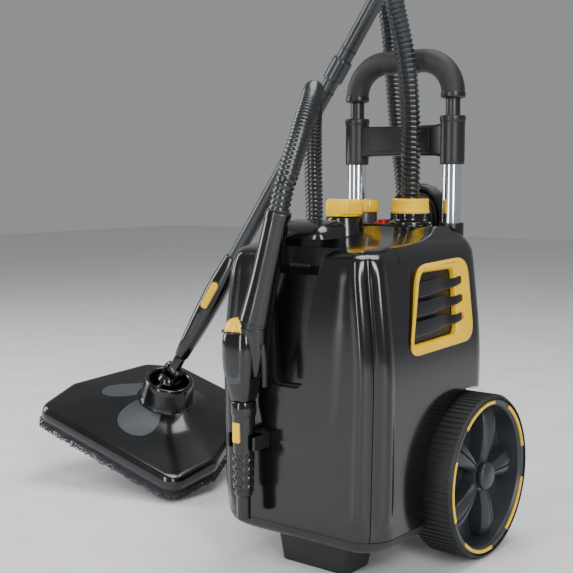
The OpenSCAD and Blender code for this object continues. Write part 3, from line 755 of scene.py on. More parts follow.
# %% Vents
def vent(side, word):
    place = side_place(side)

    def ring(outline, w):
        return [Vector(place(u, v, w)) * MM for u, v in outline]

    layers = [(vent_outer, -6), (vent_outer, 1.2), (inset(vent_outer, 0.7), 2.6),
              (inset(vent_outer, 2.2), 3.6), (inset(vent_outer, 4), 4.0),
              (inset(vent_inner, -7), 4.0), (inset(vent_inner, -5), 3.4),
              (inset(vent_inner, -1), 0.2), (vent_inner, -1.6), (vent_inner, -6)]
    frame_piece = skin("vent_surround_" + word, [ring(o, w) for o, w in layers], closed=True)
    done(frame_piece, "machine", "accent_yellow", yellow, "vent_frame_" + word)
    back = slab("vent back", inset(vent_inner, 0.4), -9, -6.5, 0.4, place)
    blades = []
    for n in range(3):
        rings = []
        for k in range(25):
            t = k / 24
            u = -1 + 121 * t
            v = 46 + 21.5 * n + 9 * t * t
            tall = 18 - 6.5 * step(0.55, 0.9, t)
            bulge = -4.2 + 3.2 * math.sin(math.pi * min(1, t * 1.25)) + 5.6 * step(0.72, 0.88, t)
            drawing = soften([(0, 0), (2.6, 1.2), (2.6, tall), (0, tall - 2)], 1.0, 3)
            rings.append([Vector(place(u, v + b, bulge + a)) * MM for a, b in drawing])
        blades.append(skin("blade", rings))
    grille = join("vent_blades_" + word, [back] + blades)
    done(grille, "machine", "base_black", satin, "vent_grille_" + word)
    studs = [slab("stud", round_box(4, v, 12, v + 5, 1, 3), -6.6, 0.4, 0.5, place) for v in (61.5, 83)]
    done(join("vent_studs_" + word, studs), "machine", "base_black", pale)


vent(1, "right")
vent(-1, "left")
print("two vents with three blades each")

# %% [markdown]
# The deck carries what is handled: the filler's cone and its six-sided cap, the ribbed
# steam dial, the hose's collar and yellow ring, and the red switch.

# %% Deck and filler
FILLER, DIAL, PORT = (-28, 75, 0), (-36, 131, 0), (35, 128, 0)


def moved(outline, at):
    return [(x + at[0], y + at[1]) for x, y in outline]


deck_outline = round_box(-60, 99, 60, 150, 14, 8)
deck = slab("control_deck", deck_outline, 391, 403, 3, flat)
done(deck, "machine", "casing_black", gloss, "top_deck")
filler = turned("filler_cone", [(0, 384), (30, 384), (27.5, 389), (24, 402), (21.5, 412), (12, 412),
                                (12, 400), (0, 400)], FILLER, radius=2.0, steps=96)
done(filler, "machine", "casing_black", gloss, "filler_neck")
corners = [math.radians(60 * k + 8) for k in range(6)]
six = soften([(27 * math.cos(a), 25 * math.sin(a)) for a in corners], 5, 6)
cap_parts = [
    slab("cap top", moved(six, FILLER), 414.5, 431.5, 1.8, flat),
    bore("cap skirt", 412.6, 415.5, 22.4, *FILLER[:2], 72),
    slab("cap wing", moved(round_box(-23, -4.5, 23, 4.5, 4), FILLER), 431, 433.4, 0.9, flat),
    bore("cap plug", 401, 414, 11.2, *FILLER[:2], 48)]
done(join("boiler_cap", cap_parts), "filler_cap", "accent_yellow", yellow, "filler_cap")

# %% Dial, collar, ring and switch
def knurled(name, levels, at, steps):
    rings = []
    for z, radius, depth in levels:
        ring = []
        for k in range(steps):
            a, r = 2 * math.pi * k / steps, radius - depth * (k % 4 < 2)
            ring.append(Vector((at[0] + r * math.cos(a), at[1] + r * math.sin(a), z)) * MM)
        rings.append(ring)
    return skin(name, rings, 40)


# height, radius, depth of the grooves
dial_levels = ((385, 5.8, 0), (416, 5.8, 0), (416, 18.5, 0), (417, 19.6, 0.7), (429, 19.4, 0.7),
               (430.4, 18.6, 0.3), (431, 17, 0), (431, 12, 0), (429.6, 11, 0), (429.6, 1, 0))
dial = knurled("pressure_dial", dial_levels, DIAL, 120)
pointer = slab("pointer", moved(round_box(-2, 2, 2, 15, 1.6), DIAL), 429, 432.4, 0.8, flat)
done(join("pressure_dial", [dial, pointer]), "steam_dial", "accent_yellow", yellow, "steam_dial")
dial_base = turned("dial_base", [(0, 402.5), (18.5, 402.5), (17.2, 404.5), (17, 415.4), (6.2, 415.4),
                                 (6.2, 403), (0, 403)], DIAL, steps=72, radius=0.6)
done(dial_base, "machine", "base_black", slate, "dial_collar")
collar = turned("hose_socket", [(0, 402), (27.5, 402), (27, 405.6), (22, 406.4), (20.4, 409),
                                (20.8, 415.9), (0, 415.9)], PORT, steps=96, radius=1.2)
done(collar, "machine", "casing_black", gloss, "hose_collar")
nut_levels = ((416, 6, 0), (416, 23.6, 0), (416.6, 24, 0), (419.4, 24, 0), (420, 23.3, 0.5),
              (431, 22.7, 0.5), (432, 23, 0), (433.4, 22.6, 0), (434, 21.4, 0), (434, 14, 0),
              (432, 13.2, 0), (432, 6, 0))
done(knurled("hose_nut", nut_levels, PORT, 144), "machine", "accent_yellow", yellow, "hose_ring")
rocker = slab("rocker", round_box(-6.5, 115.5, 4.9, 134.9, 2), 400, 407.6, 1.2, flat)
rocker_frame = slab("rocker frame", round_box(-8.6, 112.4, 7, 138, 3), 392, 404.2, 0.8, flat)
done(join("power_rocker", [rocker, rocker_frame]), "power_switch", "switch_red", red, "power_switch")
print("deck fitted")

# %% [markdown]
# Each wheel is a ribbed tyre on a deep rim, with five spokes that are pairs of petals
# with a groove between them, a domed hub cap and five yellow arcs near the rim.

# %% Wheels
def outwards(side):
    def place(x, y, z):
        return side * z, AXLE_Y + y, AXLE_Z + x
    return place


def petal(side, turn_by, lean):
    place = outwards(side)
    rings = []
    for k in range(15):
        t = k / 14
        r = 13 + 72.5 * t
        low = 0.5 + 0.5 * t
        wide = 5.5 + 9.5 * step(0, 0.9, t) - 5.5 * step(0.88, 1.0, t)
        top = 139 + 3.5 * math.sin(math.pi * min(1, t * 1.1)) - 5 * step(0.75, 1, t)
        shape = soften([(low, 116), (low + wide, 116), (low + wide, top - 7),
                        (low + wide * 0.5, top - 1.5), (low, top)], 1.4, 3)
        a = math.radians(turn_by)
        c, s = math.cos(a), math.sin(a)
        rings.append([Vector(place(r * c - across * lean * s, r * s + across * lean * c, z)) * MM
                      for across, z in shape])
    return skin("petal", rings)


def tread_tree():
    tree, make, start = new_tree("tread ribs", Count="Int", Radius="Float")
    ring = make("GeometryNodeMeshCircle")
    link(tree, start, "Count", ring, "Vertices")
    link(tree, start, "Radius", ring, "Radius")
    spot = make("GeometryNodeInputPosition")
    aim = make("FunctionNodeAlignRotationToVector")
    aim.axis = "X"
    link(tree, spot, 0, aim, "Vector")
    place = make("GeometryNodeInstanceOnPoints")
    link(tree, ring, "Mesh", place, "Points")
    link(tree, start, "Geometry", place, "Instance")
    link(tree, aim, "Rotation", place, "Rotation")
    painted_end(tree, start, place, "Instances")
    return tree


ring_of = tread_tree()


def wheel(side, word):
    body, place = "wheel_" + word, outwards(side)
    lug = skin("lug", [[Vector(p) * MM for p in ((-2, -1.7, z), (0.9, -1.5, z), (0.9, 1.5, z), (-2, 1.7, z))]
                       for z in (-24, -23, 23, 24)])
    lugs = grow(lug, ring_of, {"Count": 84, "Radius": 0.099, "Material": tread_rubber}, "lugs")
    hub = Vector((side * 120.5, AXLE_Y, AXLE_Z)) * MM
    lugs.data.transform(Matrix.Translation(hub) @ Matrix.Rotation(math.pi / 2, 4, "Y"))
    done(join("tread_" + word, [tyre_ring(side), lugs]), body, "tyre_black", tread_rubber, "tyre_" + word)
    rim = closed_turn("rim", [(95, 94), (86, 94), (85, 100), (85, 113), (40, 115), (20, 113), (20, 93),
                              (6.1, 93), (6.1, 137), (19, 137), (20, 119), (40, 118.5), (83.5, 117),
                              (85.5, 143), (88, 146.6), (93, 147.4), (95, 146)], side)
    petals = [petal(side, 72 * k + 18, lean) for k in range(5) for lean in (-1, 1)]
    done(join("wheel_disc_" + word, [rim] + petals), body, "wheel_grey", spoke_grey, "wheel_" + word)
    arcs = []
    for k in range(5):
        rings = []
        for n in range(25):
            a = math.radians(72 * k + 18 + 13 + 46 * n / 24)
            shape = soften([(88.6, 145), (92.6, 145), (92.6, 148.6), (88.6, 148.6)], 1.0, 3)
            rings.append([Vector(place(r * math.cos(a), r * math.sin(a), z)) * MM for r, z in shape])
        arcs.append(skin("arc", rings))
    done(join("rim_arcs_" + word, arcs), body, "accent_yellow", yellow, "wheel_trim_" + word)
    cap = turned("hub_dome_" + word, [(0, 138), (16, 138), (17, 142), (16.6, 144.5), (13, 147.6),
                                      (7, 149.4), (0, 149.8)], (0, AXLE_Y, AXLE_Z), (side, 0, 0), 64, 2.0)
    done(cap, body, "wheel_grey", spoke_grey, "hub_cap_" + word)


def closed_turn(name, profile, side):
    outline = soften(profile, 0.9, 3)
    rings = []
    for k in range(128):
        a = 2 * math.pi * k / 128
        rings.append([Vector((side * z, AXLE_Y + r * math.cos(a), AXLE_Z + r * math.sin(a))) * MM
                      for r, z in outline])
    return skin(name, rings, closed=True)


def tyre_ring(side):
    return closed_turn("tyre", [(95.05, 92), (97.5, 92), (98.9, 95), (99, 97), (99, 143), (98.4, 146),
                                (96.5, 149), (95.05, 149.3)], side)


wheel(1, "right")
wheel(-1, "left")
print("two wheels")

# %% [markdown]
# The telescoping handle has two stages: bright tubes with a dark crossbar, and thinner
# dark tubes that end in a padded D grip with a moulded sleeve at each foot.

# %% Handle
def sleeve_pair(name, profile, edge):
    outline = soften(profile, edge, 3)
    pair = []
    for x in (-TUBE_X, TUBE_X):
        rings = []
        for k in range(64):
            a = 2 * math.pi * k / 64
            rings.append([Vector((x + r * math.cos(a), TUBE_Y + r * math.sin(a), z)) * MM
                          for r, z in outline])
        pair.append(skin(name, rings, closed=True))
    return pair


def tube_pair(name, low, high, outer, inner, edge=0.6):
    return sleeve_pair(name, [(inner, low), (outer, low), (outer, high), (inner, high)], edge)


guides = tube_pair("guide", 380, 404, 15.5, 12.25, 1.4)
done(join("handle_guides", guides), "machine", "base_black", satin, "guide_tubes")
bright_tubes = tube_pair("outer", 130, 530, 12, 9.2)
done(join("bright_tubes", bright_tubes), "handle", "tube_silver", chrome, "handle_tubes")
dark_tubes = tube_pair("inner", 220, 571, 9, 7.5)
done(join("dark_tubes", dark_tubes), "grip", "tube_black", satin, "grip_tubes")
sleeves = sleeve_pair("sleeve", [(12.1, 476), (15, 476), (15.2, 482), (15.2, 528), (16, 530), (16, 535),
                                 (14.6, 536), (9.5, 536), (9.5, 531), (12.1, 530)], 0.9)
bar_rings = []
for x, tall, deep in ((-59, 21, 9), (-56, 20.4, 9.6), (-50, 19.2, 9.8), (0, 18.6, 10),
                      (50, 19.2, 9.8), (56, 20.4, 9.6), (59, 21, 9)):
    shape = soften([(-deep, -tall), (deep, -tall), (deep, tall), (-deep, tall)], 5, 5)
    bar_rings.append([Vector((x, TUBE_Y + b, 506 + c)) * MM for b, c in shape])
bar = skin("bar", bar_rings)
inlay = slab("inlay", round_box(-44, 493, 44, 519, 6), 0, 1.4, 0.6, lambda x, y, z: (x, 157.2 - z, y))
done(join("cross_brace", sleeves + [bar, inlay]), "handle", "bar_black", satin, "crossbar")

# %% [markdown]
# The grip is one padded sleeve. It is a little fuller between its ends, where the foam
# is free, and it has shallow finger channels underneath and a rolled lip at each foot.

# %% Padded grip
BEND, STRAIGHT_END, LEG_TOP = 42, 29, 563
grip_line = [Vector((-TUBE_X, TUBE_Y, LEG_TOP - 6 + k)) for k in (0, 2, 4, 6)]
for k in range(1, 17):
    a = math.pi * (1 - k / 32)
    grip_line.append(Vector((BEND * math.cos(a) - STRAIGHT_END, TUBE_Y, LEG_TOP + BEND * math.sin(a))))
for k in range(1, 24):
    grip_line.append(Vector((2 * STRAIGHT_END * k / 24 - STRAIGHT_END, TUBE_Y, LEG_TOP + BEND)))
for k in range(0, 17):
    a = math.pi / 2 * (1 - k / 16)
    grip_line.append(Vector((BEND * math.cos(a) + STRAIGHT_END, TUBE_Y, LEG_TOP + BEND * math.sin(a))))
grip_line += [Vector((TUBE_X, TUBE_Y, LEG_TOP - k)) for k in (2, 4, 6)]


def grip_radius(t):
    r = 14.3 + 0.7 * math.sin(math.pi * t)
    if min(t, 1 - t) < 0.03:
        r -= 1.4 * (1 - min(t, 1 - t) / 0.03) ** 2
    return r


grip = tube_along("padded_grip", grip_line, grip_radius, 40)
work = bmesh.new()
work.from_mesh(grip.data)
for v in work.verts:
    x, z = v.co.x / MM, v.co.z / MM
    if abs(x) < 36 and z < 603:
        v.co.z += 0.0011 * (0.5 - 0.5 * math.cos(2 * math.pi * x / 18)) * step(0, 8, 603 - z)
work.to_mesh(grip.data)
work.free()
done(grip, "grip", "grip_foam", foam, "grip")
foot_profile = [(0, 557), (9.1, 557), (14.4, 557.5), (15.3, 559), (15.3, 564), (14.4, 565.4), (0, 565.4)]
feet = [turned("foot", foot_profile, (x, TUBE_Y, 0)) for x in (-TUBE_X, TUBE_X)]
done(join("grip_ferrules", feet), "grip", "grip_foam", satin)
print("handle made")

# %% [markdown]
# The steam gun hangs nose down. Its head is a stack of rounded sections that taper into
# the nozzle, its handle is a smooth cone that leads into the hose, and the small pieces
# are separate: trigger, dome, lock button and the yellow key on the nozzle.

# %% Gun body
def section(cx, cy, z, wide, deep, power=2.6, steps=48):
    ring = []
    for k in range(steps):
        a = 2 * math.pi * k / steps
        c, s = math.cos(a), math.sin(a)
        ring.append(Vector((cx + wide * math.copysign(abs(c) ** (2 / power), c),
                            cy + deep * math.copysign(abs(s) ** (2 / power), s), z)) * MM)
    return ring


GUN_X, GUN_Y = -52, -90
# middle y, height, half width, half depth
gun_levels = [(-90, 206, 12, 12), (-90, 208, 13.6, 13.2), (-90, 216, 15.2, 14.4), (-90.4, 228, 18, 17),
              (-90.8, 243, 20.6, 19), (-91, 258, 22, 20), (-91, 272, 22, 19.8), (-91, 280, 21, 19),
              (-91, 284.6, 19.6, 17.8), (-91, 286.2, 17.5, 16)]
head = skin("gun head", [section(GUN_X, *level, power=3.0) for level in gun_levels])
lobe_levels = ((236, 9, 9), (246, 13, 12.5), (260, 16, 15), (276, 18.6, 17.6), (291, 19.4, 18.4))
rear_lobe = skin("gun lobe", [section(-38, -86, z, w, d, 2.4) for z, w, d in lobe_levels])
tail_from, tail_to = Vector((-40.5, -86, 284)), Vector((-3, -86, 423.5))
tail_line = [tail_from.lerp(tail_to, k / 24) for k in range(25)]
tail = tube_along("gun tail", tail_line, lambda t: 19.6 - 2.6 * step(0, 0.5, t) - 3.0 * t, 40)
cuffs = []
for t, r, half in ((0.045, 20.4, 0.016), (0.10, 20.0, 0.006), (0.965, 14.8, 0.03)):
    cuffs.append(tube_along("cuff", [tail_from.lerp(tail_to, t + half * s) for s in (-1, -0.8, 0.8, 1)],
                            lambda q, r=r: r - 1.2 * (q < 0.01 or q > 0.99), 40))
ears = [slab("ear", round_box(-33, 267, -21.5, 283, 3.5), 0, 2.5, 0.5, lambda x, y, z, e=e: (x, e + z, y))
        for e in (-97, -85.5)]
pin = turned("pin", [(0, 0), (2, 0), (2, 15), (0, 15)], (-26, -98, 275), (0, 1, 0), steps=24, radius=0.3)
panel_shape = soften([(-11, 22), (11, 22), (14, 52), (10, 66), (-10, 66), (-14, 52)], 5, 5)


def on_gun_face(x, y, z):
    bow = 0.03 * abs(x) ** 1.5 + 0.10 * abs(52 - y)
    return GUN_X + x * 0.92, bow - 110.2 - z, 206 + y


badge = slab("gun_badge", panel_shape, -3, 1.4, 0.9, on_gun_face)
gun = join("gun_housing", [head, rear_lobe, tail, pin] + cuffs + ears)
done(gun, "gun", "gun_black", gloss, "gun_body")
done(badge, "gun", "recess_grey", slate)

# %% Nozzle
barrel = turned("barrel", [(0, 66), (7.4, 66), (8.3, 67.4), (8.3, 94), (10.4, 95.5), (11, 99), (12.4, 150),
                           (13.6, 188), (15, 191), (15.2, 198), (14.4, 205.6), (0, 205.6)],
                (GUN_X, GUN_Y, 0), radius=0.9)
diamonds = []
for row in range(9):
    for k in range(12):
        a = math.radians(30 * k + 15 * (row % 2))
        z = 101 + 5.2 * row
        r = 11.0 + (z - 99) * 0.0275
        c, s = math.cos(a), math.sin(a)
        rings = []
        for out, size in ((-0.8, 2.7), (0.35, 2.4), (0.8, 1.4)):
            away = r + out
            rings.append([Vector((GUN_X + away * c - across * s, GUN_Y + away * s + across * c, z + up)) * MM
                          for across, up in ((-size, 0), (0, -size), (size, 0), (0, size))])
        diamonds.append(skin("diamond", rings))
done(join("gun_nozzle_shell", [barrel] + diamonds), "gun", "gun_black", gloss, "gun_nozzle")
key = slab("nozzle_key", round_box(-57, 158.4, -47, 182, 2.2), 0, 5, 1.2,
           lambda x, y, z: (x, -99.6 - z, y))
done(key, "nozzle_button", "accent_yellow", yellow, "nozzle_button")

# %% Trigger, dome and lock button
trigger_rings = []
for k in range(17):
    t = k / 16
    z = 279.5 - 54 * t
    x = -25.5 + 5.4 * t + 2.2 * math.sin(math.pi * t)
    deep = 3.2 + 0.6 * math.sin(math.pi * t)
    thick = 4.4 - 1.6 * t
    trigger_rings.append(section(x, GUN_Y, z, thick, deep, 2.6, 24))
done(skin("gun_lever", trigger_rings), "trigger", "trigger_black", satin, "gun_trigger")
DOME_X, DOME_Y, DOME_RIM = -54, -96, 17.8
dome = turned("thumb_dome", [(0, 285.4), (16.4, 285.4), (16.4, 288), (15.6, 292.4), (13.4, 296.8),
                             (9.6, 300.2), (5, 302), (0, 302.4)], (DOME_X, DOME_Y, 0), radius=1.2)
done(dome, "gun_dome", "accent_yellow", yellow, "gun_dome")
rim_line = [Vector((DOME_X + DOME_RIM * math.cos(a), DOME_Y + DOME_RIM * math.sin(a), 286.6))
            for a in (2 * math.pi * k / 64 for k in range(64))]
rim = tube_along("dome_rim", rim_line + [Vector((DOME_X + DOME_RIM, DOME_Y, 286.6))], 1.5, 12)
done(rim, "gun", "gun_black", gloss)
stud = turned("lock_stud", [(0, -8), (3, -8), (3, 0.2), (2, 1.2), (0, 1.5)], (-19.6, -86, 303),
              (1, 0, 0), steps=32, radius=0.5)
done(stud, "gun_lock_button", "accent_yellow", yellow, "gun_lock_button")
print("gun made")

# %% [markdown]
# A short shelf on the front holds the gun. It is a C-shaped clip with rounded lips.

# %% Gun holster
clip_shape = soften([(-73, -67.1), (-73, -96), (-68.7, -96), (-68.7, -75.5),
                     (-35.3, -75.5), (-35.3, -96), (-31, -96), (-31, -67.1)], 2.6, 5)
holster = slab("gun_clip", clip_shape, 150, 166, 1.4, flat)
done(holster, "machine", "base_black", satin, "gun_holster")
print("holster made")

# %% [markdown]
# The wand and the mop lean: each has its own frame, turned about the swivel's two pins.

# %% Frames of the mop, the yoke and the wand
def turn(degrees, axis):
    return Matrix.Rotation(math.radians(degrees), 3, axis)


swivel = Vector((-411, 156, 145))
mop_turn = turn(20, "Y") @ turn(10, "X") @ turn(8, "Z")
yoke_turn = mop_turn @ turn(13, "Y")
wand_turn = yoke_turn @ turn(-15.5, "X")
upper_pin = swivel + yoke_turn @ Vector((0, 0, 24))


def in_mop(x, y, z):
    return swivel + mop_turn @ Vector((x, y, z - 78))


def in_yoke(x, y, z):
    return swivel + yoke_turn @ Vector((x, y, z))


def in_wand(x, y, z):
    return upper_pin + wand_turn @ Vector((x, y, z))


def wand_turned(name, profile):
    outline = soften(profile, 0.7, 3)
    rings = []
    for k in range(64):
        a = 2 * math.pi * k / 64
        rings.append([in_wand(r * math.cos(a), r * math.sin(a), z) * MM for r, z in outline])
    return skin(name, rings, closed=True)


print("upper pin at", [round(v, 2) for v in upper_pin])

# %% Wand tubes
lower = wand_turned("wand_tube_lower", [(7.5, 190), (11, 190), (11, 499), (13.2, 500.5), (14, 503),
                                        (14, 530), (13.2, 533), (11.05, 534), (11.05, 512), (7.5, 512)])
done(lower, "wand", "wand_grey", wand_grey, "wand_lower")
upper = wand_turned("wand_tube_upper", [(7.5, 512.3), (11, 512.3), (11, 838), (13, 840), (14, 843), (14, 876),
                                        (13, 879.4), (10, 880), (8.5, 878.6), (8.5, 835), (7.5, 834)])
done(upper, "wand", "wand_grey", wand_grey, "wand_upper")
bands = [wand_turned("band", [(10.9, z), (11.5, z + 0.2), (11.5, z + 3.8), (10.9, z + 4)])
         for z in (482, 546, 828)]
done(join("wand_bands", bands), "wand", "wand_grey", satin)
print("wand made")

# %% [markdown]
# The neck joins the wand to the swivel: a glossy waisted shell with a flat face for its
# yellow key, a tongue below, and a grey strip beside the key.

# %% Mop neck
def neck_ring(z, wide, deep):
    return [in_wand(p.x / MM, p.y / MM, z) * MM for p in section(0, 0, 0, wide, deep, 2.4, 56)]


# height, half width, half depth
neck_levels = [(24, 6, 6), (25, 8.6, 8.6), (29, 10.4, 10.2), (60, 13.0, 12.4), (100, 15.4, 14.6),
               (140, 16.8, 15.6), (165, 16.4, 15.4), (190, 15, 14.6), (202, 14, 14), (205, 13, 13),
               (205.8, 11.3, 11.3)]
neck_shell = skin("neck shell", [neck_ring(z, w, d) for z, w, d in neck_levels])
tongue = slab("tongue", round_box(-7, -7, 7, 7, 2), 2, 30, 0.8, in_wand)
barrel = turned("barrel", [(0, -7), (8, -7), (8, 7), (0, 7)], upper_pin, wand_turn @ Vector((1, 0, 0)), 48)
done(join("neck_housing", [neck_shell, tongue, barrel]), "wand", "mop_black", gloss, "mop_neck")
oval = soften([(-6, 118), (6, 118), (6, 162), (-6, 162)], 6, 8)
key = slab("neck_key", oval, 0, 5.6, 1.6, lambda x, y, z: in_wand(x, -12.8 - z, y))
done(key, "neck_button", "accent_yellow", yellow, "neck_button")
surround = slab("key_surround", inset(oval, -2.2), 0, 2.6, 0.8, lambda x, y, z: in_wand(x, -13.2 - z, y))
done(surround, "wand", "mop_black", satin)
strip = []
for z in range(34, 112, 6):
    wide = 10.6 + 4.4 * step(30, 120, z)
    strip.append([in_wand(x, -y, z) * MM for x, y in
                  ((-3.4, wide - 3), (3.4, wide - 3), (3.0, wide + 0.5), (-3.0, wide + 0.5))])
done(skin("neck_strip", strip), "wand", "wand_grey", wand_grey)
print("neck made")

# %% Swivel yoke
cheek = soften([(-8, -6), (8, -6), (8, 32), (-8, 32)], 7, 6)
yoke_parts = [slab("cheek", cheek, -3, 3, 0.9, lambda y, z, x, c=c: in_yoke(c - x, y, z)) for c in (-11, 11)]
yoke_parts.append(turned("ball", [(0, -12), (12, -12), (17, -8), (19, -2), (18.4, 4), (15.6, 9.5), (10, 13.4),
                                  (0, 14.4)], swivel, yoke_turn @ Vector((0, 0, 1)), 64, 2))
for half, at, axis in ((14, upper_pin, (1, 0, 0)), (35, swivel, (0, 1, 0))):
    yoke_parts.append(turned("pin", [(0, -half), (4, -half), (4, half), (0, half)], at,
                             yoke_turn @ Vector(axis), 32))
done(join("swivel_ball", yoke_parts), "yoke", "yoke_grey", gloss, "swivel_yoke")
print("yoke made")

# %% [markdown]
# The mop's head is lofted from one outline: the curve that wraps round eight discs, wide in
# front and narrow behind. The shell rises from it to a round cup for the swivel.

# %% Mop outline
MOP_STEPS = 160


def mop_outline(grow):
    discs = [(-112, -122, 24), (112, -122, 24), (122, -60, 22), (82, 60, 26),
             (-82, 60, 26), (-122, -60, 22), (-50, 88, 26), (50, 88, 26)]
    loop = []
    for k in range(720):
        a = math.radians(k / 2)
        c, s = math.cos(a), math.sin(a)
        x, y, r = max(discs, key=lambda d: d[0] * c + d[1] * s + d[2])
        loop.append(Vector((x + (r + grow) * c, y + (r + grow) * s)))
    gaps = [(loop[(i + 1) % 720] - p).length for i, p in enumerate(loop)]
    pace, out, i, run = sum(gaps) / MOP_STEPS, [], 0, 0.0
    for n in range(MOP_STEPS):
        while run + gaps[i] < n * pace:
            run += gaps[i]
            i += 1
        out.append(loop[i].lerp(loop[(i + 1) % 720], (n * pace - run) / gaps[i]))
    return out


def mop_ring(grow, z):
    return [in_mop(p.x, p.y, z) * MM for p in mop_outline(grow)]


def cup_ring(r, z):
    start = mop_outline(0)[0]
    lead = math.atan2(start.y, start.x)
    angles = [lead + 2 * math.pi * k / MOP_STEPS for k in range(MOP_STEPS)]
    return [in_mop(r * math.cos(a), r * math.sin(a), z) * MM for a in angles]


def deck_ring(t):
    outer, inner = mop_outline(-9), cup_ring(43, 0)
    rise = 34.6 + 1.4 * math.sin(math.pi * min(1, t * 1.5)) + 12.0 * t ** 2.2
    ring = []
    for p, q in zip(outer, inner):
        q = mop_turn.transposed() @ (q / MM - swivel)
        ring.append(in_mop(p.x + (q.x - p.x) * t, p.y + (q.y - p.y) * t, rise) * MM)
    return ring


shell_rings = [mop_ring(g, z) for g, z in ((-3, 16.1), (-0.6, 16.3), (0, 17.4), (-0.5, 23), (-1.8, 28),
                                           (-3.6, 31.4), (-6, 33.6))]
shell_rings += [deck_ring(n / 24) for n in range(25)]
shell_rings += [cup_ring(r, z) for r, z in ((42, 49), (41.4, 51), (38.6, 72), (37.6, 79), (37, 81.4),
                                            (35.4, 83), (33, 83.4), (31.2, 82.4), (30.3, 80),
                                            (30.2, 56), (29, 54.6), (4, 54.2))]
done(skin("mop_cover", shell_rings, 50), "mop_head", "mop_black", gloss, "mop_shell")
print("mop shell made")

# %% Flared panels and lower band
def flare(name, first, last, inner, reach):
    top, under = [], []
    rows = 12
    for n in range(rows + 1):
        row_top, row_under = [], []
        for k in range(first, last + 1):
            across = (k - first) / (last - first)
            low = inner - reach * math.sin(math.pi * across) ** 0.7
            t = low + (inner - low) * n / rows
            spot = deck_ring_at(t, k % MOP_STEPS)
            row_top.append(spot + lift_mm(1.0))
            row_under.append(spot - lift_mm(1.2))
        top.append(row_top)
        under.append(row_under)
    wide = last - first + 1
    points = [p for row in top + under for p in row]
    faces = []
    half = (rows + 1) * wide
    for n in range(rows):
        for k in range(wide - 1):
            a = n * wide + k
            faces.append((a, a + 1, a + wide + 1, a + wide))
            faces.append((half + a, half + a + wide, half + a + wide + 1, half + a + 1))
    edge = list(range(wide)) + [n * wide + wide - 1 for n in range(1, rows + 1)]
    edge += [rows * wide + k for k in range(wide - 2, -1, -1)] + [n * wide for n in range(rows - 1, 0, -1)]
    for a, b in zip(edge, edge[1:] + edge[:1]):
        faces.append((a, half + a, half + b, b))
    return mesh_piece(name, points, faces, 40)


decks = {}


def deck_ring_at(t, k):
    key = round(t, 4)
    if key not in decks:
        decks[key] = deck_ring(t)
    return decks[key][k]


def lift_mm(amount):
    return mop_turn @ Vector((0, 0, amount)) * MM


done(flare("mop_flare_left", 77, 104, 0.97, 0.52), "mop_head", "mop_band", slate)
done(flare("mop_flare_front", 112, 142, 0.97, 0.62), "mop_head", "mop_band", slate)
band_levels = [(-3, 12.0), (-1.4, 12.1), (-1, 12.8), (-1, 15), (-1.4, 15.6), (-3, 15.7)]
band = skin("mop_base_band", [mop_ring(g, z) for g, z in band_levels])
done(band, "mop_head", "mop_band", satin, "mop_base")
print("mop panels made")

# %% [markdown]
# The terry pad is a soft bag round a plate. It starts a little small, is remeshed and blown
# up by a short cloth simulation, and its lower edge carries rows of terry loops.

# %% Terry pad
pad_levels = [(-7, 1.6), (-3.4, 2.0), (-0.6, 3.6), (-0.2, 6), (-0.8, 9), (-2.4, 10.6), (-6, 11)]
pad = skin("mop_terry_pad", [mop_ring(g, z) for g, z in pad_levels])


def puff(piece, voxel, cap, low, high):
    remesh = piece.modifiers.new("even", "REMESH")
    remesh.mode = "VOXEL"
    remesh.voxel_size = voxel
    apply_all(piece)
    rest = [v.co.copy() for v in piece.data.vertices]
    cloth = piece.modifiers.new("cloth", "CLOTH")
    cloth.settings.use_pressure = True
    cloth.settings.uniform_pressure_force = 4
    cloth.settings.effector_weights.gravity = 0
    cloth.settings.quality = 5
    for frame_number in range(1, 16):
        scene.frame_set(frame_number)
    apply_all(piece)
    scene.frame_set(1)
    back = mop_turn.transposed()
    for v, home in zip(piece.data.vertices, rest):
        move = v.co - home
        if move.length > cap * MM:
            v.co = home + move.normalized() * cap * MM
        local = back @ (v.co / MM - swivel)
        local.z = min(high - 78, max(low - 78, local.z))
        v.co = (swivel + mop_turn @ local) * MM


puff(pad, 0.0045, 2.2, 0.3, 11.4)
smooth = pad.modifiers.new("smooth", "SUBSURF")
smooth.levels = smooth.render_levels = 1
apply_all(pad, 60)
print("pad made,", len(pad.data.polygons), "faces")

# %% Terry loops
def tuft_tree():
    tree, make, start = new_tree("terry loops", Spacing="Float", Loop="Object", Seed="Int")
    spots = make("GeometryNodeCurveToPoints")
    spots.mode = "LENGTH"
    link(tree, start, "Geometry", spots, "Curve")
    link(tree, start, "Spacing", spots, "Length")
    loop = make("GeometryNodeObjectInfo")
    link(tree, start, "Loop", loop, "Object")
    place = make("GeometryNodeInstanceOnPoints")
    link(tree, spots, "Points", place, "Points")
    link(tree, loop, "Geometry", place, "Instance")
    link(tree, spots, "Rotation", place, "Rotation")
    spin = make("FunctionNodeRandomValue")
    spin.data_type = "FLOAT_VECTOR"
    spin.inputs["Min"].default_value = (-0.5, -0.4, -0.6)
    spin.inputs["Max"].default_value = (0.5, 0.4, 0.6)
    link(tree, start, "Seed", spin, "Seed")
    turned_loops = make("GeometryNodeRotateInstances")
    link(tree, place, "Instances", turned_loops, "Instances")
    link(tree, spin, 0, turned_loops, "Rotation")
    size = make("FunctionNodeRandomValue")
    size.inputs[2].default_value = 0.75
    size.inputs[3].default_value = 1.15
    link(tree, start, "Seed", size, "Seed")
    scaled = make("GeometryNodeScaleInstances")
    link(tree, turned_loops, "Instances", scaled, "Instances")
    link(tree, size, 1, scaled, "Scale")
    painted_end(tree, start, scaled, "Instances")
    return tree


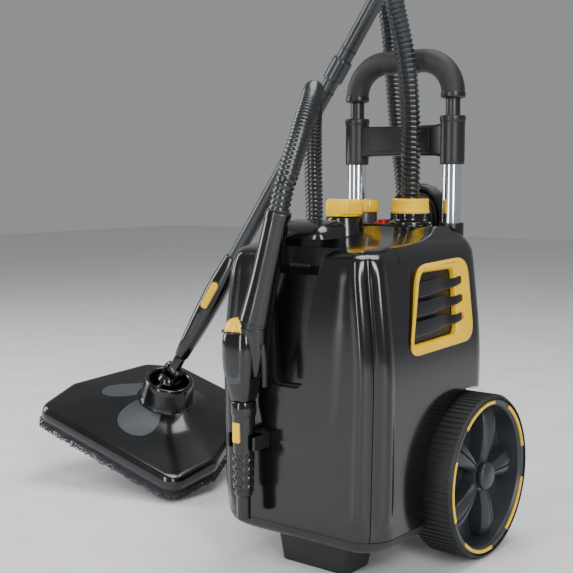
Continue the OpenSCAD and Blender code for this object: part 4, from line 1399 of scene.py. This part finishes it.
loops = tuft_tree()
strand = tube_along("strand", [Vector((0, 2.9 * math.cos(a), 1.3 + 2.9 * math.sin(a)))
                               for a in (math.pi * n / 8 for n in range(9))], 0.62, 6)
rows = []
for n, (grow_by, z) in enumerate(((0.6, 7.6), (0.9, 5.0), (-0.4, 2.6), (-5, 1.4))):
    line = [Vector(p) / MM for p in mop_ring(grow_by, z)]
    rows.append(grow(curve_object("row", line + line[:1]), loops,
                     {"Spacing": 0.0034, "Loop": strand, "Seed": 11 + n, "Material": terry}, "row"))
bpy.data.objects.remove(strand)
tufts = join("mop_pad_loops", rows, 60)
done(pad, "mop_head", "pad_fabric", terry, "mop_pad")
done(tufts, "mop_head", "pad_fabric", terry)
print(len(tufts.data.polygons), "faces of terry loops")

# %% [markdown]
# The rest is small and mostly hidden: the front foot, the cord's two hooks, the screws under
# the pan, and finishes for the CAD pieces that show as they are.

# %% Foot, hooks and screws
# half width, half depth, how far the corners are pulled in, height
foot_levels = [(42, 24, 1.2, 0), (45.5, 25, 0.3, 0.6), (46, 25.4, 0, 2.5), (52, 27.4, 0, 38),
               (54, 28, 0, 43.6)]
foot_rings = []
for x, y, pull, z in foot_levels:
    outline = round_box(-x - 2 + pull, -y + 1, x + 2 - pull, y + 2 * step(2, 44, z), 8)
    foot_rings.append([Vector((a, b, z)) * MM for a, b in outline])
done(skin("foot_block", foot_rings), "machine", "base_black", satin, "front_foot")
hooks = []
for z in (HOOK_LOW, HOOK_HIGH):
    hooks.append(turned("hook", [(0, 189.6), (11, 189.6), (11, 222), (13.2, 224.6), (14, 226), (14, 227.2),
                                 (13, 228), (0, 228)], (HOOK_X, 0, z), (0, 1, 0)))
for low, high in ((238, 266), (330, 423)):
    hooks.append(slab("plate", round_box(-11, low, 17, high, 4), 186.1, 189.6, 0.8,
                      lambda x, y, z: (x, z, y)))
done(join("cord_hook_pair", hooks), "machine", "base_black", satin, "cord_hooks")
screws = [turned("screw", [(0, 0), (3, 0), (3.9, 0.3), (4, 1), (1.8, 1.1), (1.8, 13), (1, 14), (0, 14)],
                 (x, y, 44.2), steps=24, radius=0.2)
          for x in (-SCREW_X, SCREW_X) for y in (-SCREW_Y, SCREW_Y)]
done(join("pan_screws", screws), "machine", "screw_zinc", steel, "case_screws")
print("foot, hooks and screws made")

# %% Finishes of the CAD pieces that stay
for node, material in (("boiler_tank", steel), ("heating_element", steel), ("thermostat", ceramic),
                       ("solenoid_valve", slate), ("steam_pipe", copper), ("cap_seal", seal_red),
                       ("axle", steel), ("axle_clips", steel)):
    kept = bpy.data.objects[node]
    kept.data.materials.clear()
    kept.data.materials.append(material)
print("8 CAD pieces finished")
